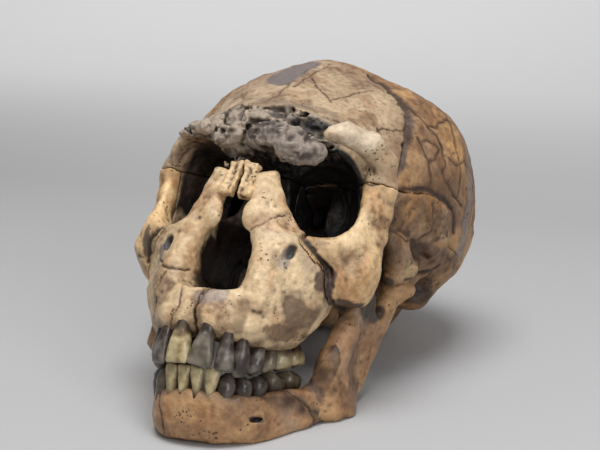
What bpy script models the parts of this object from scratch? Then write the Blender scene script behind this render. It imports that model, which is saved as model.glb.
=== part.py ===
"""Fossil hominin skull with its lower jaw, life size, lying as it rests on a table.

Every bone is first worked out in the skull's own frame, in millimetres: x to the skull's left,
y to the back, z up, with the origin midway between the ear openings. A form is a function that
gives, for an array of points, the distance to its surface, below zero inside. Forms are joined
and cut with soft edges, as clay is. The skin of a form is a closed mesh, thinned by Decimate.
The braincase and face are made whole and then parted along the sutures with thin cuts. At the
end every bone is tipped back onto its resting points and turned into metres.
"""

import bmesh
import bpy
import numpy as np

# Driving dimensions of the skull, in millimetres
VAULT_BREADTH = 143.0      # greatest breadth of the braincase
VAULT_MIDDLE = (12.0, 34.0)  # y and z of the middle of the braincase
PITCH = np.radians(23.6)   # how far the skull lies tipped back
GROUND = -46.5             # level of the table under the tipped skull
BACKWARD = 14.2            # shift that brings the middle of the object to y = 0
SUTURE = 0.34              # gap between two bones that meet
JAW_ROOM = 1.3             # gap between the skull and the hinge of the jaw

# How fine the forms are worked out, and the share of its triangles that each keeps
CELL = 1.7
NASAL_CELL = 1.0
SKULL_SHARE = 0.062
JAW_SHARE = 0.09
LUMP_SHARE = 0.22
NASAL_SHARE = 0.15
FAR = 50.0                 # distance where no form is near

# Sagittal outline of the braincase as (y, z), from the brow over the crown to the base
VAULT_OUTLINE = [
    (-76, 32), (-75, 49), (-61, 60.5), (-41, 73), (-20, 87.5), (0, 99), (20, 102), (42, 97),
    (62, 83), (77, 63), (87, 39), (86, 16), (77, -2), (67, -13), (54, -19), (30, -20),
    (8, -18), (-16, -13), (-40, -6), (-62, 4), (-74, 16),
]
# How boxy the braincase is across, as (z, power), and how boxy at the nape
SQUARENESS = [(0, 2.8), (34, 2.3), (75, 2.2)]
NAPE_SQUARENESS = [(-25, 1.55), (-8, 1.75), (4, 2.15), (22, 2.48)]
NAPE_TOP = 22.0
# Ridge along the crown as (y, z), off the middle by its x, with the slope of the roof beside it
RIDGE = [(-60, 66), (-40, 78.5), (-20, 91.5), (0, 101.5), (20, 104.5), (42, 99.5), (62, 86), (85, 66)]
RIDGE_X = -4.0
ROOF_SLOPE = 0.38
# The right side of the face is pressed in. By level: z, share, and the x from which it starts
PRESS = [
    (-85, 0.27, 4), (-62, 0.25, 4), (-52, 0.15, 28), (-30, 0.13, 28), (-12, 0.07, 6), (0, 0.11, 6),
    (12, 0.17, 6), (37, 0.22, 6), (60, 0.1, 6),
]
PRESS_EASING = 18.0  # over this much of x the pressing grows to its full share
# Outline of the raised plate over the ear as (y, z), and how far it stands out
PLATE_EDGE = [
    (-44, 6), (-42, 14), (-35, 20), (-20, 22), (-6, 19.5), (8, 15.5), (18, 11), (21, 4), (14, -3),
    (2, -1), (-12, -8), (-28, -12), (-40, -6),
]
PLATE_PROUD = 2.0
# Outline of the upright branch of the jaw as (y, z): hinge, notch, front prong, front edge, angle
BRANCH_OUTLINE = [
    (-31, -61), (-24, -47), (-18.5, -34), (-14, -20), (-11.5, -9), (-19, -9.5), (-26, -22),
    (-31, -25), (-38, -16), (-45, -9), (-50, -20), (-53, -34), (-58, -46), (-60, -60),
    (-52, -71), (-40, -69),
]


# Soft joins between forms
def soft_min(a, b, blend):
    if blend <= 0:
        return np.minimum(a, b)
    near = np.maximum(blend - np.abs(a - b), 0) / blend
    return np.minimum(a, b) - near * near * blend / 4


def soft_max(a, b, blend):
    return -soft_min(-a, -b, blend)


def turned(degrees):
    """The rotation by these angles about x, then y, then z, as a 3 by 3 array."""
    (cx, cy, cz), (sx, sy, sz) = np.cos(np.radians(degrees)), np.sin(np.radians(degrees))
    about_x = np.array([[1, 0, 0], [0, cx, -sx], [0, sx, cx]])
    about_y = np.array([[cy, 0, sy], [0, 1, 0], [-sy, 0, cy]])
    about_z = np.array([[cz, -sz, 0], [sz, cz, 0], [0, 0, 1]])
    return about_z @ about_y @ about_x


# A form is a tuple: distance function, lowest corner, highest corner
def ball(middle, radii, turn=(0, 0, 0)):
    """An ellipsoid: the scaled radius, times itself less one, over the length of its gradient."""
    middle, radii, axes = np.array(middle, float), np.array(radii, float), turned(turn)

    def distance(points):
        local = (points - middle) @ axes
        scaled = np.sqrt(((local / radii) ** 2).sum(1))
        slope = np.sqrt(((local / radii**2) ** 2).sum(1))
        return scaled * (scaled - 1) / np.maximum(slope, 1e-6)

    return distance, middle - radii.max(), middle + radii.max()


def rod(spine, radii, blend=0):
    """A round rod through the points of its spine, with a radius at each."""
    spine, radii = np.array(spine, float), np.array(radii, float)

    def distance(points):
        found = None
        for a, b, thick_a, thick_b in zip(spine[:-1], spine[1:], radii[:-1], radii[1:]):
            along = b - a
            share = np.clip((points - a) @ along / (along @ along), 0, 1)
            away = np.sqrt(((points - a - share[:, None] * along) ** 2).sum(1))
            away = away - thick_a - (thick_b - thick_a) * share
            found = away if found is None else soft_min(found, away, blend)
        return found

    return distance, spine.min(0) - radii.max(), spine.max(0) + radii.max()


def plate(middle, half, turn=(0, 0, 0), edge=1.0):
    """A block with rounded edges."""
    middle, axes = np.array(middle, float), turned(turn)
    inner = np.array(half, float) - edge

    def distance(points):
        past = np.abs((points - middle) @ axes) - inner
        outside = np.sqrt((np.maximum(past, 0) ** 2).sum(1))
        return outside + np.minimum(past.max(1), 0) - edge

    reach = np.linalg.norm(half)
    return distance, middle - reach, middle + reach


def tunnel(rows, squareness=2.5):
    """A hole along y. Each row is y, then middle x and z, then half width and half height."""
    rows = np.array(rows, float)
    sides = rows[:, 1] - rows[:, 3], rows[:, 1] + rows[:, 3]
    ends = rows[:, 2] - rows[:, 4], rows[:, 2] + rows[:, 4]

    def distance(points):
        x, z, wide, high = [np.interp(points[:, 1], rows[:, 0], rows[:, i]) for i in (1, 2, 3, 4)]
        across = np.abs(points[:, 0] - x) / wide
        upward = np.abs(points[:, 2] - z) / high
        ring = (across**squareness + upward**squareness) ** (1 / squareness)
        past_end = np.maximum(points[:, 1] - rows[-1, 0], rows[0, 0] - points[:, 1])
        return np.maximum((ring - 1) * np.minimum(wide, high), past_end)

    low = np.array([sides[0].min(), rows[0, 0], ends[0].min()])
    high = np.array([sides[1].max(), rows[-1, 0], ends[1].max()])
    return distance, low, high


def smooth_loop(corners, steps):
    """A closed curve that passes smoothly through its corners."""
    corners = np.array(corners, float)
    before, after = np.roll(corners, 1, 0), np.roll(corners, -1, 0)
    later = np.roll(corners, -2, 0)
    rings = []
    for t in np.arange(steps) / steps:
        rings.append(
            corners
            + (after - before) * t / 2
            + (2 * before - 5 * corners + 4 * after - later) * t**2 / 2
            + (3 * corners - before - 3 * after + later) * t**3 / 2
        )
    return np.stack(rings, 1).reshape(-1, corners.shape[1])


def inside_outline(flat, outline):
    """Distance from points of a plane to a closed outline, below zero inside it."""
    nearest = np.full(len(flat), 1e9)
    sign = np.ones(len(flat))
    for a, b in zip(outline, np.roll(outline, -1, 0)):
        side, away = b - a, flat - a
        share = np.clip(away @ side / (side @ side), 0, 1)
        nearest = np.minimum(nearest, ((away - share[:, None] * side) ** 2).sum(1))
        above, below = flat[:, 1] >= a[1], flat[:, 1] < b[1]
        left = side[0] * away[:, 1] > side[1] * away[:, 0]
        sign = np.where((above & below & left) | (~above & ~below & ~left), -sign, sign)
    return sign * np.sqrt(nearest)


class Clay:
    """Distances at an array of points, to which forms are added and from which they are cut."""

    MARGIN = 6.0

    def __init__(self, points):
        x, y, z = points.T
        levels, shares, starts = np.transpose(PRESS)
        ramp = np.clip((-x - np.interp(z, levels, starts)) / PRESS_EASING, 0, 1)
        x = x * (1 + np.interp(z, levels, shares) * ramp * np.clip((-y - 5) / 35, 0, 1))
        self.points = {"left": np.stack([x, y, z], 1), "right": np.stack([-x, y, z], 1)}
        self.points["both"] = np.stack([np.abs(x), y, z], 1)
        self.distances = np.full(len(points), FAR)

    def near(self, form, blend, side):
        distance, low, high = form
        reach = blend + self.MARGIN
        points = self.points[side]
        rows = np.nonzero(((points > low - reach) & (points < high + reach)).all(1))[0]
        return rows, distance(points[rows])

    def add(self, form, blend=0.0, side="both"):
        rows, distance = self.near(form, blend, side)
        self.distances[rows] = soft_min(self.distances[rows], distance, blend)

    def cut(self, form, blend=0.0, side="both"):
        rows, distance = self.near(form, blend, side)
        self.distances[rows] = soft_max(self.distances[rows], -distance, blend)


def height_over_table(points):
    return points[:, 2] * np.cos(PITCH) - points[:, 1] * np.sin(PITCH) - GROUND


# The braincase: in the middle plane it follows its outline, and sideways it is a rounded oval,
# boxier low down, narrower at the temples and towards the crown
def vault():
    mid_y, mid_z = VAULT_MIDDLE
    curve = smooth_loop(VAULT_OUTLINE, 8)
    angle = np.arctan2(curve[:, 1] - mid_z, curve[:, 0] - mid_y)
    radius = np.hypot(curve[:, 1] - mid_z, curve[:, 0] - mid_y)
    order = np.argsort(angle)

    def distance(points):
        x, y, z = np.abs(points[:, 0]), points[:, 1] - mid_y, points[:, 2] - mid_z
        reach = np.interp(np.arctan2(z, y), angle[order], radius[order], period=2 * np.pi)
        toward_front = np.clip((-points[:, 1] - 15) / 30, 0, 1)
        squareness = np.interp(points[:, 2], *np.transpose(SQUARENESS))
        squareness = squareness - 0.25 * toward_front * np.clip((points[:, 2] - 30) / 20, 0, 1)
        at_nape = np.clip((points[:, 1] - 22) / 16, 0, 1) * (points[:, 2] < NAPE_TOP)
        rounder = np.interp(points[:, 2], *np.transpose(NAPE_SQUARENESS))
        squareness = squareness + at_nape * (rounder - squareness)
        toward_crown = np.clip((points[:, 2] - 40) / 50, 0, 1)
        at_temples = np.exp(-(((points[:, 1] + 46) / 30) ** 2))
        half = VAULT_BREADTH / 2 * (1 - 0.02 * toward_crown) * (1 - 0.18 * at_temples)
        oval = (x / half) ** squareness + (np.hypot(y, z) / reach) ** squareness
        scale = oval ** (1 / squareness)
        return np.sqrt(x * x + y * y + z * z) * (1 - 1 / np.maximum(scale, 1e-3)) * 0.93

    low, high = np.array([-75, -95, -45]), np.array([75, 105, 110])
    return distance, low, high


def over_the_roof():
    """Everything above the two slopes that meet along the crown's ridge."""
    ridge_y, ridge_z = np.transpose(RIDGE)

    def distance(points):
        level = np.interp(points[:, 1], ridge_y, ridge_z) - ROOF_SLOPE * np.abs(points[:, 0] - RIDGE_X)
        return (level - points[:, 2]) / np.hypot(1, ROOF_SLOPE)

    return distance, np.array([-80, -60, 40]), np.array([80, 100, 120])


def raised_plate():
    """The thin plate of the temporal bone: the grown braincase inside an outline on the side view."""
    outline = smooth_loop(PLATE_EDGE, 4)
    whole = vault()[0]

    def distance(points):
        return soft_max(whole(points) - PLATE_PROUD, inside_outline(points[:, 1:], outline), 1.2)

    (low_y, low_z), (high_y, high_z) = outline.min(0), outline.max(0)
    return distance, np.array([30, low_y, low_z]), np.array([80, high_y, high_z])


def nasal_opening():
    """A pear outline in x and z, carried back through the face."""
    levels = [-31, -29.5, -27, -23, -17, -8, -3, 3, 9, 14]
    half_widths = [2, 9, 13.5, 15.8, 15.6, 12.6, 9.6, 6.6, 5.4, 4.2]

    def distance(points):
        half = np.interp(points[:, 2], levels, half_widths)
        half = half * np.interp(points[:, 1], [-80, -50, -30], [1, 0.9, 0.75])
        side = np.abs(points[:, 0] - 0.6) - half
        side = soft_max(side, -30 - points[:, 2], 3)
        side = soft_max(side, points[:, 2] - 12.5, 3)
        return soft_max(side, points[:, 1] + 30, 3)

    return distance, np.array([-20, -130, -34]), np.array([20, -30, 16])


def braincase_and_face(points):
    clay = Clay(points)
    clay.add(vault())
    clay.cut(over_the_roof(), 8, "left")
    # Hollow of the temple behind the orbit, and the hollow under the cheek
    clay.cut(ball((67, -52, 16), (17, 15, 30), (0, 0, 16)), 12)
    clay.cut(ball((50, -42, -20), (19, 22, 22), (0, 0, 10)), 8)
    # Brow: whole at the left end, a broken bar on the right
    left_brow = [(32, -79, 40.5), (41, -76.5, 42), (49, -69, 40), (53.5, -61, 34), (54.3, -58, 24)]
    clay.add(rod(left_brow, [4.2, 4.8, 5.0, 5.0, 4.8], 4), 5, "left")
    right_brow = [
        (10, -77, 39), (22, -77.5, 38.5), (34, -74, 37.5), (44, -67, 34), (51, -60, 29), (54, -58, 23),
    ]
    clay.add(rod(right_brow, [7, 6.5, 6.5, 6, 5, 4.8], 4), 6, "right")
    # Pillar at the side of the orbit, its front edge, and the orbit's side wall
    pillar = [(54.2, -57.5, 25), (53.6, -57, 14), (52, -58, 4), (50, -61, -8)]
    clay.add(rod(pillar, [4.8, 4.5, 5, 6.5], 4), 4)
    clay.add(rod([(50, -62, 26), (50, -62.5, 14), (48, -66, 3)], [3.2, 3.4, 4.5], 4), 4)
    clay.add(plate((43.5, -52.5, 11), (2.2, 12.5, 19), (0, 0, 37), 2), 4)
    # Cheek bone
    clay.add(ball((46.5, -65, -12), (8, 11.5, 13), (0, 8, -48)), 7)
    clay.add(ball((48, -58, -17), (5, 9, 9.5), (0, 6, -30)), 6)
    # Lower rim of the orbit, and the front of the upper jaw
    rim = [(17, -80, 5), (23, -79, -2), (31, -77.5, -5.5), (40, -74, -6), (46, -69, -2)]
    clay.add(rod(rim, [3.5, 4, 4.5, 5, 5], 3), 5)
    clay.add(ball((24, -75, -18), (13, 13, 20), (8, 0, -14)), 8)
    clay.add(ball((20, -82, -12), (8, 7, 15), (18, 0, -10)), 6)
    clay.add(ball((33, -69, -24), (10.5, 10, 12), (0, 0, -30)), 7)
    # Arch that holds the upper teeth, with the palate across it
    arch = [
        (0, -97, -40), (9, -95.5, -40), (16, -89, -41), (20.5, -80, -41), (23.5, -71, -40), (25, -62, -38),
    ]
    clay.add(rod(arch, [8.5, 8.5, 8.3, 7.8, 7.2, 6.5], 6), 6)
    clay.add(ball((0, -94, -33), (15, 9, 9)), 6)
    clay.add(plate((0, -72, -33), (24, 26, 2.5), edge=2), 4)
    # Walls behind the nose, base of the skull, and the wing plates behind the palate
    clay.add(plate((17, -62, -14), (3.5, 20, 20), (0, 0, 6), 3), 6)
    clay.add(ball((0, -32, -2), (20, 22, 14)), 8)
    clay.add(plate((15, -42, -26), (1.8, 8, 15), (14, 0, -12), 1.6), 4)
    # Orbits and nose
    orbit = [
        (-110, 34, 18.5, 20, 21), (-84, 32.3, 18, 18.8, 20.6), (-66, 30, 17.5, 17.8, 19.6),
        (-50, 25.5, 17, 14, 16), (-36, 18, 15, 7.5, 9), (-26, 14, 14.5, 2.5, 3),
    ]
    clay.cut(tunnel(orbit), 2)
    clay.cut(nasal_opening(), 2)
    clay.cut(ball((0, -68, 14), (17, 17, 15)), 4)
    # Frontal process of the upper jaw: a plate from the edge of the nose back to the orbit's rim
    inner_edge = [
        (9.2, -80.5, 22), (8.9, -83, 13), (9.8, -85, 4), (14, -85.8, -5), (18.4, -89, -15), (19.4, -92, -25),
    ]
    clay.add(rod(inner_edge, [1.8, 2.4, 2.8, 3.4, 4.2, 5.4], 3), 3)
    middle_line = [(10.2, -79.5, 21), (12.6, -80.8, 12), (15.2, -81.5, 4), (19, -82, -4)]
    clay.add(rod(middle_line, [2.0, 2.9, 3.6, 4.4], 3), 5)
    outer_edge = [(11.2, -78.6, 20.5), (15.3, -79, 12.5), (19.2, -79, 5), (26, -78.3, -2.5)]
    clay.add(rod(outer_edge, [1.7, 2.4, 2.9, 3.6], 3), 5)
    # Raised plate of the temporal bone, with the broken root of the cheek arch
    clay.add(ball((50, -13, 3), (9, 31, 14), (0, -12, 10)), 4)
    clay.add(raised_plate(), 1)
    clay.add(rod([(53, -18, -7), (57, -8, 2.7), (60, -4, 10)], [3.5, 3, 2.5], 3), 4)
    clay.add(rod([(50, -24, -9), (54, -14, -5), (58, -2, -1)], [4, 4, 4], 3), 4)
    clay.cut(ball((60, -16, 4), (6, 7, 5)), 3)
    # Mastoid process and the broken hollow in front of it
    clay.add(ball((50, 19, -9), (8, 9, 10)), 5)
    clay.cut(ball((60, 6, -8), (10, 7, 6), (0, 0, -20)), 3)
    # The two swells of the nape that reach the table, the condyles, and the great opening
    clay.add(ball((16, 52, -11.5), (15.5, 20, 15)), 12)
    clay.add(ball((12, 12, -22), (5, 8, 6), (0, 0, 20)), 3)
    clay.cut(ball((0, 27, -30), (13, 16, 22)), 3)
    # Socket of the jaw's hinge, and room for the prong in front of it
    def socket(spots):
        return jaw(spots) - JAW_ROOM

    clay.cut((socket, np.array([36, -62, -40]), np.array([64, -2, 0])))
    # Broken middle of the brow
    clay.cut(ball((26, -80, 43), (8.5, 9, 4.5), (0, 20, 0)), 2, "left")
    clay.cut(ball((0, -82, 30), (17, 9, 8)), 3)
    return np.maximum(clay.distances, -height_over_table(points))


def brow_lump(points):
    """The lump of stone that hangs over the left orbit."""
    clay = Clay(points)
    clay.add(ball((8, -77, 39), (11, 7, 7)), 0, "left")
    clay.add(ball((20, -79, 35), (8.5, 5.5, 7), (0, 15, 0)), 4, "left")
    clay.add(ball((28, -78, 33), (5, 4.5, 4)), 3, "left")
    return clay.distances


def nasal_bone(points):
    clay = Clay(points)
    clay.add(rod([(3.4, -80.3, 25), (3.5, -83.8, 18), (3.9, -86.5, 11)], [2.6, 2.6, 2.9], 1), 0, "left")
    return clay.distances


def jaw_body(points):
    """An upright bar carried along the tooth row: its section is a rounded oblong.

    Each station gives the bar's middle x and y, its top, its foot, its half thickness, and how
    far its top leans out.
    """
    stations = np.array([
        (0, -94.5, -71, -88.5, 6.3, 3.0), (12, -92, -71, -88.5, 6.5, 3.0),
        (21, -82, -69.5, -87, 6.8, 1.5), (28, -68, -65, -81.5, 7.2, 0),
        (34, -55, -62, -75.5, 7.8, 0), (39.5, -42, -60, -69, 6.2, 0),
    ])
    mirrored = stations[:0:-1] * (-1, 1, 1, 1, 1, 1)
    whole = smooth_loop(np.concatenate([mirrored, stations]), 6)
    middle = 6 * (len(stations) - 1)
    line = whole[middle:2 * middle + 1]
    nearest = np.full(len(points), 1e9)
    measures = np.zeros((len(points), 5))
    for a, b in zip(line[:-1], line[1:]):
        along, away = b[:2] - a[:2], points[:, :2] - a[:2]
        share = np.clip(away @ along / (along @ along), 0, 1)
        offset = away - share[:, None] * along
        reach = np.hypot(offset[:, 0], offset[:, 1])
        outward = np.sign(along[1] * away[:, 0] - along[0] * away[:, 1])
        closer = reach < nearest
        nearest[closer] = reach[closer]
        measures[closer, 0] = (reach * outward)[closer]
        measures[closer, 1:] = (a[2:] + share[:, None] * (b - a)[2:])[closer]
    offset, top, foot, thick, lean = measures.T
    half_height = (top - foot) / 2 + 1
    rise = np.clip((points[:, 2] - (top + foot) / 2) / half_height, -4, 4)
    thick = thick * (1 - 0.12 * np.clip(rise, -1, 1))
    section = np.abs((offset - lean * rise) / thick) ** 2.8 + np.abs(rise) ** 2.8
    return (section ** (1 / 2.8) - 1) * np.minimum(thick, half_height)


def jaw(points):
    clay = Clay(points)
    clay.distances = jaw_body(clay.points["both"])
    outline = smooth_loop(BRANCH_OUTLINE, 4)

    def branch(spots):
        side = 42.5 + (spots[:, 2] + 62) * 0.12 + (spots[:, 1] + 35) * 0.12
        thick = 3.4 + np.clip((-48 - spots[:, 2]) / 20, 0, 1) * 1.8
        return soft_max(inside_outline(spots[:, 1:], outline), np.abs(spots[:, 0] - side) - thick, 4)

    clay.add((branch, np.array([30, -66, -80]), np.array([60, 0, 0])), 6)
    clay.add(ball((51, -14.5, -11), (9, 4.6, 4.6), (0, 0, 12)), 4)
    clay.add(rod([(39, -50, -60), (41, -57, -50), (44, -54, -36)], [5.2, 3.6, 3.2], 3), 4)
    return np.maximum(clay.distances, -height_over_table(points))


# The skin of a form. Cells crossed by the surface each hold one point, the mean of the places
# where the surface crosses the cell's edges, and each crossed edge gives one face
def skin(form, low, high, cell=CELL, block=4):
    low = np.array(low, float)
    counts = np.ceil((np.array(high) - low) / cell / block).astype(int) * block + 1
    rough = [low[i] + cell * block * np.arange((counts[i] - 1) // block + 1) for i in range(3)]
    shape = [len(axis) for axis in rough]
    coarse = form(np.stack(np.meshgrid(*rough, indexing="ij"), -1).reshape(-1, 3)).reshape(shape)
    corners = [
        np.abs(coarse[i:shape[0] - 1 + i, j:shape[1] - 1 + j, k:shape[2] - 1 + k])
        for i in (0, 1) for j in (0, 1) for k in (0, 1)
    ]
    crossed = np.minimum.reduce(corners) < cell * block * 1.5
    values = np.full(counts, FAR)
    wanted = np.zeros(counts, bool)
    coarse = coarse[:-1, :-1, :-1]
    for axis in range(3):
        crossed = np.repeat(crossed, block, axis)
        coarse = np.repeat(coarse, block, axis)
    values[:-1, :-1, :-1] = coarse
    wanted[:-1, :-1, :-1] = crossed
    for axis in range(3):
        wanted |= np.roll(wanted, 1, axis)
    places = np.argwhere(wanted)
    values[tuple(places.T)] = form(places * cell + low)
    return net_over(values, low, cell)


def net_over(values, low, cell):
    inside = values < 0
    stride = np.array([values.shape[1] * values.shape[2], values.shape[2], 1])
    cells, spots, faces = [], [], []
    for axis in range(3):
        second, third = (axis + 1) % 3, (axis + 2) % 3
        here = tuple(slice(0, -1) if a == axis else slice(None) for a in range(3))
        there = tuple(slice(1, None) if a == axis else slice(None) for a in range(3))
        start = np.argwhere(inside[here] != inside[there])
        for other in (second, third):
            start = start[(start[:, other] > 0) & (start[:, other] < values.shape[other] - 1)]
        end = start + np.eye(3, dtype=int)[axis]
        first, last = values[tuple(start.T)], values[tuple(end.T)]
        spot = start.astype(float)
        spot[:, axis] += first / (first - last)
        own = start @ stride
        around = np.stack([
            own, own - stride[second], own - stride[second] - stride[third], own - stride[third],
        ], 1)
        cells.append(around.T.reshape(-1))
        spots.append(np.tile(spot, (4, 1)))
        faces.append(np.where((first < 0)[:, None], around, around[:, ::-1]))
    cells, spots, faces = np.concatenate(cells), np.concatenate(spots), np.concatenate(faces)
    names, index, number = np.unique(cells, return_inverse=True, return_counts=True)
    index = index.reshape(-1)
    mean = np.stack([np.bincount(index, spots[:, i]) / number for i in range(3)], 1)
    return mean * cell + low, np.searchsorted(names, faces)


# Meshes, objects and modifiers
def make(name, points, faces):
    mesh = bpy.data.meshes.new(name)
    mesh.from_pydata(np.asarray(points).tolist(), [], [list(map(int, face)) for face in faces])
    thing = bpy.data.objects.new(name, mesh)
    bpy.context.scene.collection.objects.link(thing)
    return thing


def settle(thing):
    """Applies the modifiers of an object to its mesh."""
    evaluated = thing.evaluated_get(bpy.context.evaluated_depsgraph_get())
    mesh = bpy.data.meshes.new_from_object(evaluated)
    thing.modifiers.clear()
    old, thing.data = thing.data, mesh
    bpy.data.meshes.remove(old)
    return thing


def discard(*things):
    for thing in things:
        bpy.data.objects.remove(thing)


def copy_of(thing, name):
    twin = thing.copy()
    twin.data = thing.data.copy()
    twin.name = name
    bpy.context.scene.collection.objects.link(twin)
    return twin


def thinned(thing, share):
    thin = thing.modifiers.new("Thin", "DECIMATE")
    thin.ratio = share
    return settle(thing)


def swollen(thing, by):
    swell = thing.modifiers.new("Swell", "DISPLACE")
    swell.mid_level = 0
    swell.strength = by
    return settle(thing)


def combine(thing, other, operation):
    """Joins, cuts or keeps the common part of two closed solids."""
    join = thing.modifiers.new("Join", "BOOLEAN")
    join.operation = operation
    join.solver = "MANIFOLD"
    join.object = other
    return settle(thing)


def largest_piece(thing):
    """Drops every closed surface but the largest."""
    mesh = thing.data
    points = np.empty(len(mesh.vertices) * 3)
    mesh.vertices.foreach_get("co", points)
    edges = np.empty(len(mesh.edges) * 2, int)
    mesh.edges.foreach_get("vertices", edges)
    edges = edges.reshape(-1, 2)
    label = np.arange(len(mesh.vertices))
    while True:
        lower = np.minimum(label[edges[:, 0]], label[edges[:, 1]])
        fresh = label.copy()
        np.minimum.at(fresh, edges[:, 0], lower)
        np.minimum.at(fresh, edges[:, 1], lower)
        fresh = fresh[fresh]
        if (fresh == label).all():
            break
        label = fresh
    names, sizes = np.unique(label, return_counts=True)
    kept = label == names[sizes.argmax()]
    renumber = np.cumsum(kept) - 1
    faces = [
        [int(renumber[v]) for v in face.vertices]
        for face in mesh.polygons if kept[face.vertices[0]]
    ]
    mesh.clear_geometry()
    mesh.from_pydata(points.reshape(-1, 3)[kept].tolist(), [], faces)
    return thing


def mended(thing):
    """Draws each edge where four faces meet together into a point, so that no two sheets touch."""
    mesh = bmesh.new()
    mesh.from_mesh(thing.data)
    pinched = [edge for edge in mesh.edges if len(edge.link_faces) > 2]
    while pinched:
        bmesh.ops.collapse(mesh, edges=pinched)
        pinched = [edge for edge in mesh.edges if len(edge.link_faces) > 2]
    mesh.to_mesh(thing.data)
    mesh.free()
    return thing


def solid_of(name, form, low, high, share, cell=CELL):
    return thinned(mended(largest_piece(make(name, *skin(form, low, high, cell)))), share)


# Blocks that part the skull. An outline in one plane is drawn out along the third axis
def grown(outline, by):
    """The outline moved outwards by this much, its corners mitred."""
    outline = np.array(outline, float)
    following = np.roll(outline, -1, 0)
    side = (following - outline) / np.linalg.norm(following - outline, axis=1)[:, None]
    turning = np.sign((outline[:, 0] * following[:, 1] - following[:, 0] * outline[:, 1]).sum())
    normal = turning * np.stack([side[:, 1], -side[:, 0]], 1)
    previous = np.roll(normal, 1, 0)
    mitre = normal + previous
    return outline + by * mitre / (1 + (normal * previous).sum(1))[:, None]


def block(plane, outline, low, high, grow=0.0, side=1):
    """A prism: plane names the two axes of its outline, low and high are its ends."""
    first, second = ["xyz".index(letter) for letter in plane]
    third = 3 - first - second
    outline = grown(outline, grow) if grow else np.array(outline, float)
    count = len(outline)
    points = np.zeros((2 * count, 3))
    points[:, [first, second]] = np.tile(outline, (2, 1))
    points[:count, third], points[count:, third] = low - grow, high + grow
    points[:, 0] *= side
    faces = [list(range(count)), list(range(2 * count - 1, count - 1, -1))]
    faces += [[i, count + i, count + (i + 1) % count, (i + 1) % count] for i in range(count)]
    return facing_out(make("Block", points, faces), points, faces)


def facing_out(thing, points, faces):
    """Turns the faces of a closed mesh outwards."""
    volume = 0.0
    for face in faces:
        for i in range(1, len(face) - 1):
            volume += points[face[0]] @ np.cross(points[face[i]], points[face[i + 1]])
    if volume < 0:
        thing.data.flip_normals()
    return thing


def part_off(rest, name, make_block):
    """Takes the bone that lies inside a block off the rest, which keeps the suture's gap to it."""
    inner, outer = make_block(0.0), make_block(SUTURE)
    bone = combine(copy_of(rest, name), inner, "INTERSECT")
    combine(rest, outer, "DIFFERENCE")
    discard(inner, outer)
    return largest_piece(bone)


def simple(plane, outline, low, high, side=1):
    return lambda grow: block(plane, outline, low, high, grow, side)


# Sutures, as outlines in the skull's frame
FRONTAL = [(-140, 25), (-42.5, 25), (-38, 38), (-30, 57), (-20, 76), (-9, 93), (-1, 115), (-140, 115)]
PARIETAL = [
    (-70, 24), (-43, 23), (-35, 21), (-20, 22), (-5, 19), (15, 13), (48, 2), (72, 66), (92, 118),
    (-70, 118),
]
TEMPORAL = [(12, -43), (12, -8), (68, 48), (95, 48), (95, -43)]
OCCIPITAL = [(-12, -8), (12, -8), (68, 48), (95, 48), (95, 130), (-95, 130), (-95, 48), (-68, 48)]
CHEEK_FRONT = [(30, 30), (30, -4), (39.4, -15.7), (41.5, -26), (42, -50), (95, -50), (95, 30)]
CHEEK_PLAN = [(20, -125), (20, -80), (40, -60), (54, -46), (95, -46), (95, -125)]
UPPER_JAW = [(0.17, -130), (0.17, -46), (60, -46), (60, -130)]


def cheek_block(side):
    def build(grow):
        front = block("xz", CHEEK_FRONT, -125, -20, grow, side)
        plan = block("xy", CHEEK_PLAN, -60, 30, grow, side)
        combine(front, plan, "INTERSECT")
        discard(plan)
        return front
    return build


# Teeth: rings of a rounded oblong from the root's end to the crown's edge. A row gives the outer
# face's x and y, the gum line, the biting edge, the width along the arch, the depth across it
UPPER_TEETH = {
    "incisor_1": (5.6, -107.0, -47.5, -61.0, 9.8, 8.0),
    "incisor_2": (15.0, -103.3, -49.5, -61.8, 7.6, 7.5),
    "canine": (20.6, -97.0, -50.5, -63.2, 8.0, 8.6),
    "premolar_3": (24.4, -89.0, -50.5, -60.5, 7.2, 10.5),
    "premolar_4": (26.8, -81.2, -50.0, -58.6, 7.0, 10.5),
    "molar_1": (28.8, -71.8, -49.0, -56.4, 10.8, 11.5),
    "molar_2": (30.2, -60.8, -47.5, -53.6, 10.2, 11.5),
}
LOWER_TEETH = {
    "incisor_1": (3.1, -102.4, -72.5, -61.0, 5.4, 6.3),
    "incisor_2": (9.3, -101.2, -72.8, -61.0, 6.0, 6.6),
    "canine": (15.8, -97.6, -73.0, -61.8, 7.4, 8.2),
    "premolar_3": (21.0, -90.4, -72.0, -62.2, 7.4, 9.2),
    "premolar_4": (24.2, -82.4, -68.5, -61.2, 7.4, 9.2),
    "molar_1": (27.0, -72.4, -65.5, -58.8, 11.2, 10.6),
    "molar_2": (29.6, -60.6, -62.5, -56.4, 11.2, 10.6),
}
# Rings as (share of the crown from the gum, share of the width, share of the depth)
RINGS = {
    "incisor": [(-0.62, 0.45, 0.55), (0.0, 0.72, 0.85), (0.55, 1.0, 0.72), (1.0, 0.93, 0.26)],
    "canine": [(-0.62, 0.5, 0.6), (0.0, 0.78, 0.85), (0.5, 1.0, 0.9), (1.0, 0.22, 0.22)],
    "premolar": [(-0.7, 0.5, 0.6), (0.0, 0.76, 0.86), (0.6, 1.0, 1.0), (1.0, 0.62, 0.62)],
    "molar": [(-0.8, 0.6, 0.65), (0.0, 0.84, 0.88), (0.6, 1.0, 1.0), (1.0, 0.8, 0.78)],
}
RING_SIDES = 8
RING_POWER = 3     # rounded oblong: higher is boxier
ARCH_MIDDLE = -60  # y of a point inside the row, from which outwards is told
EDGE_FORWARD = 0.34  # how far an incisor's thin edge sits towards its outer face


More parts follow.
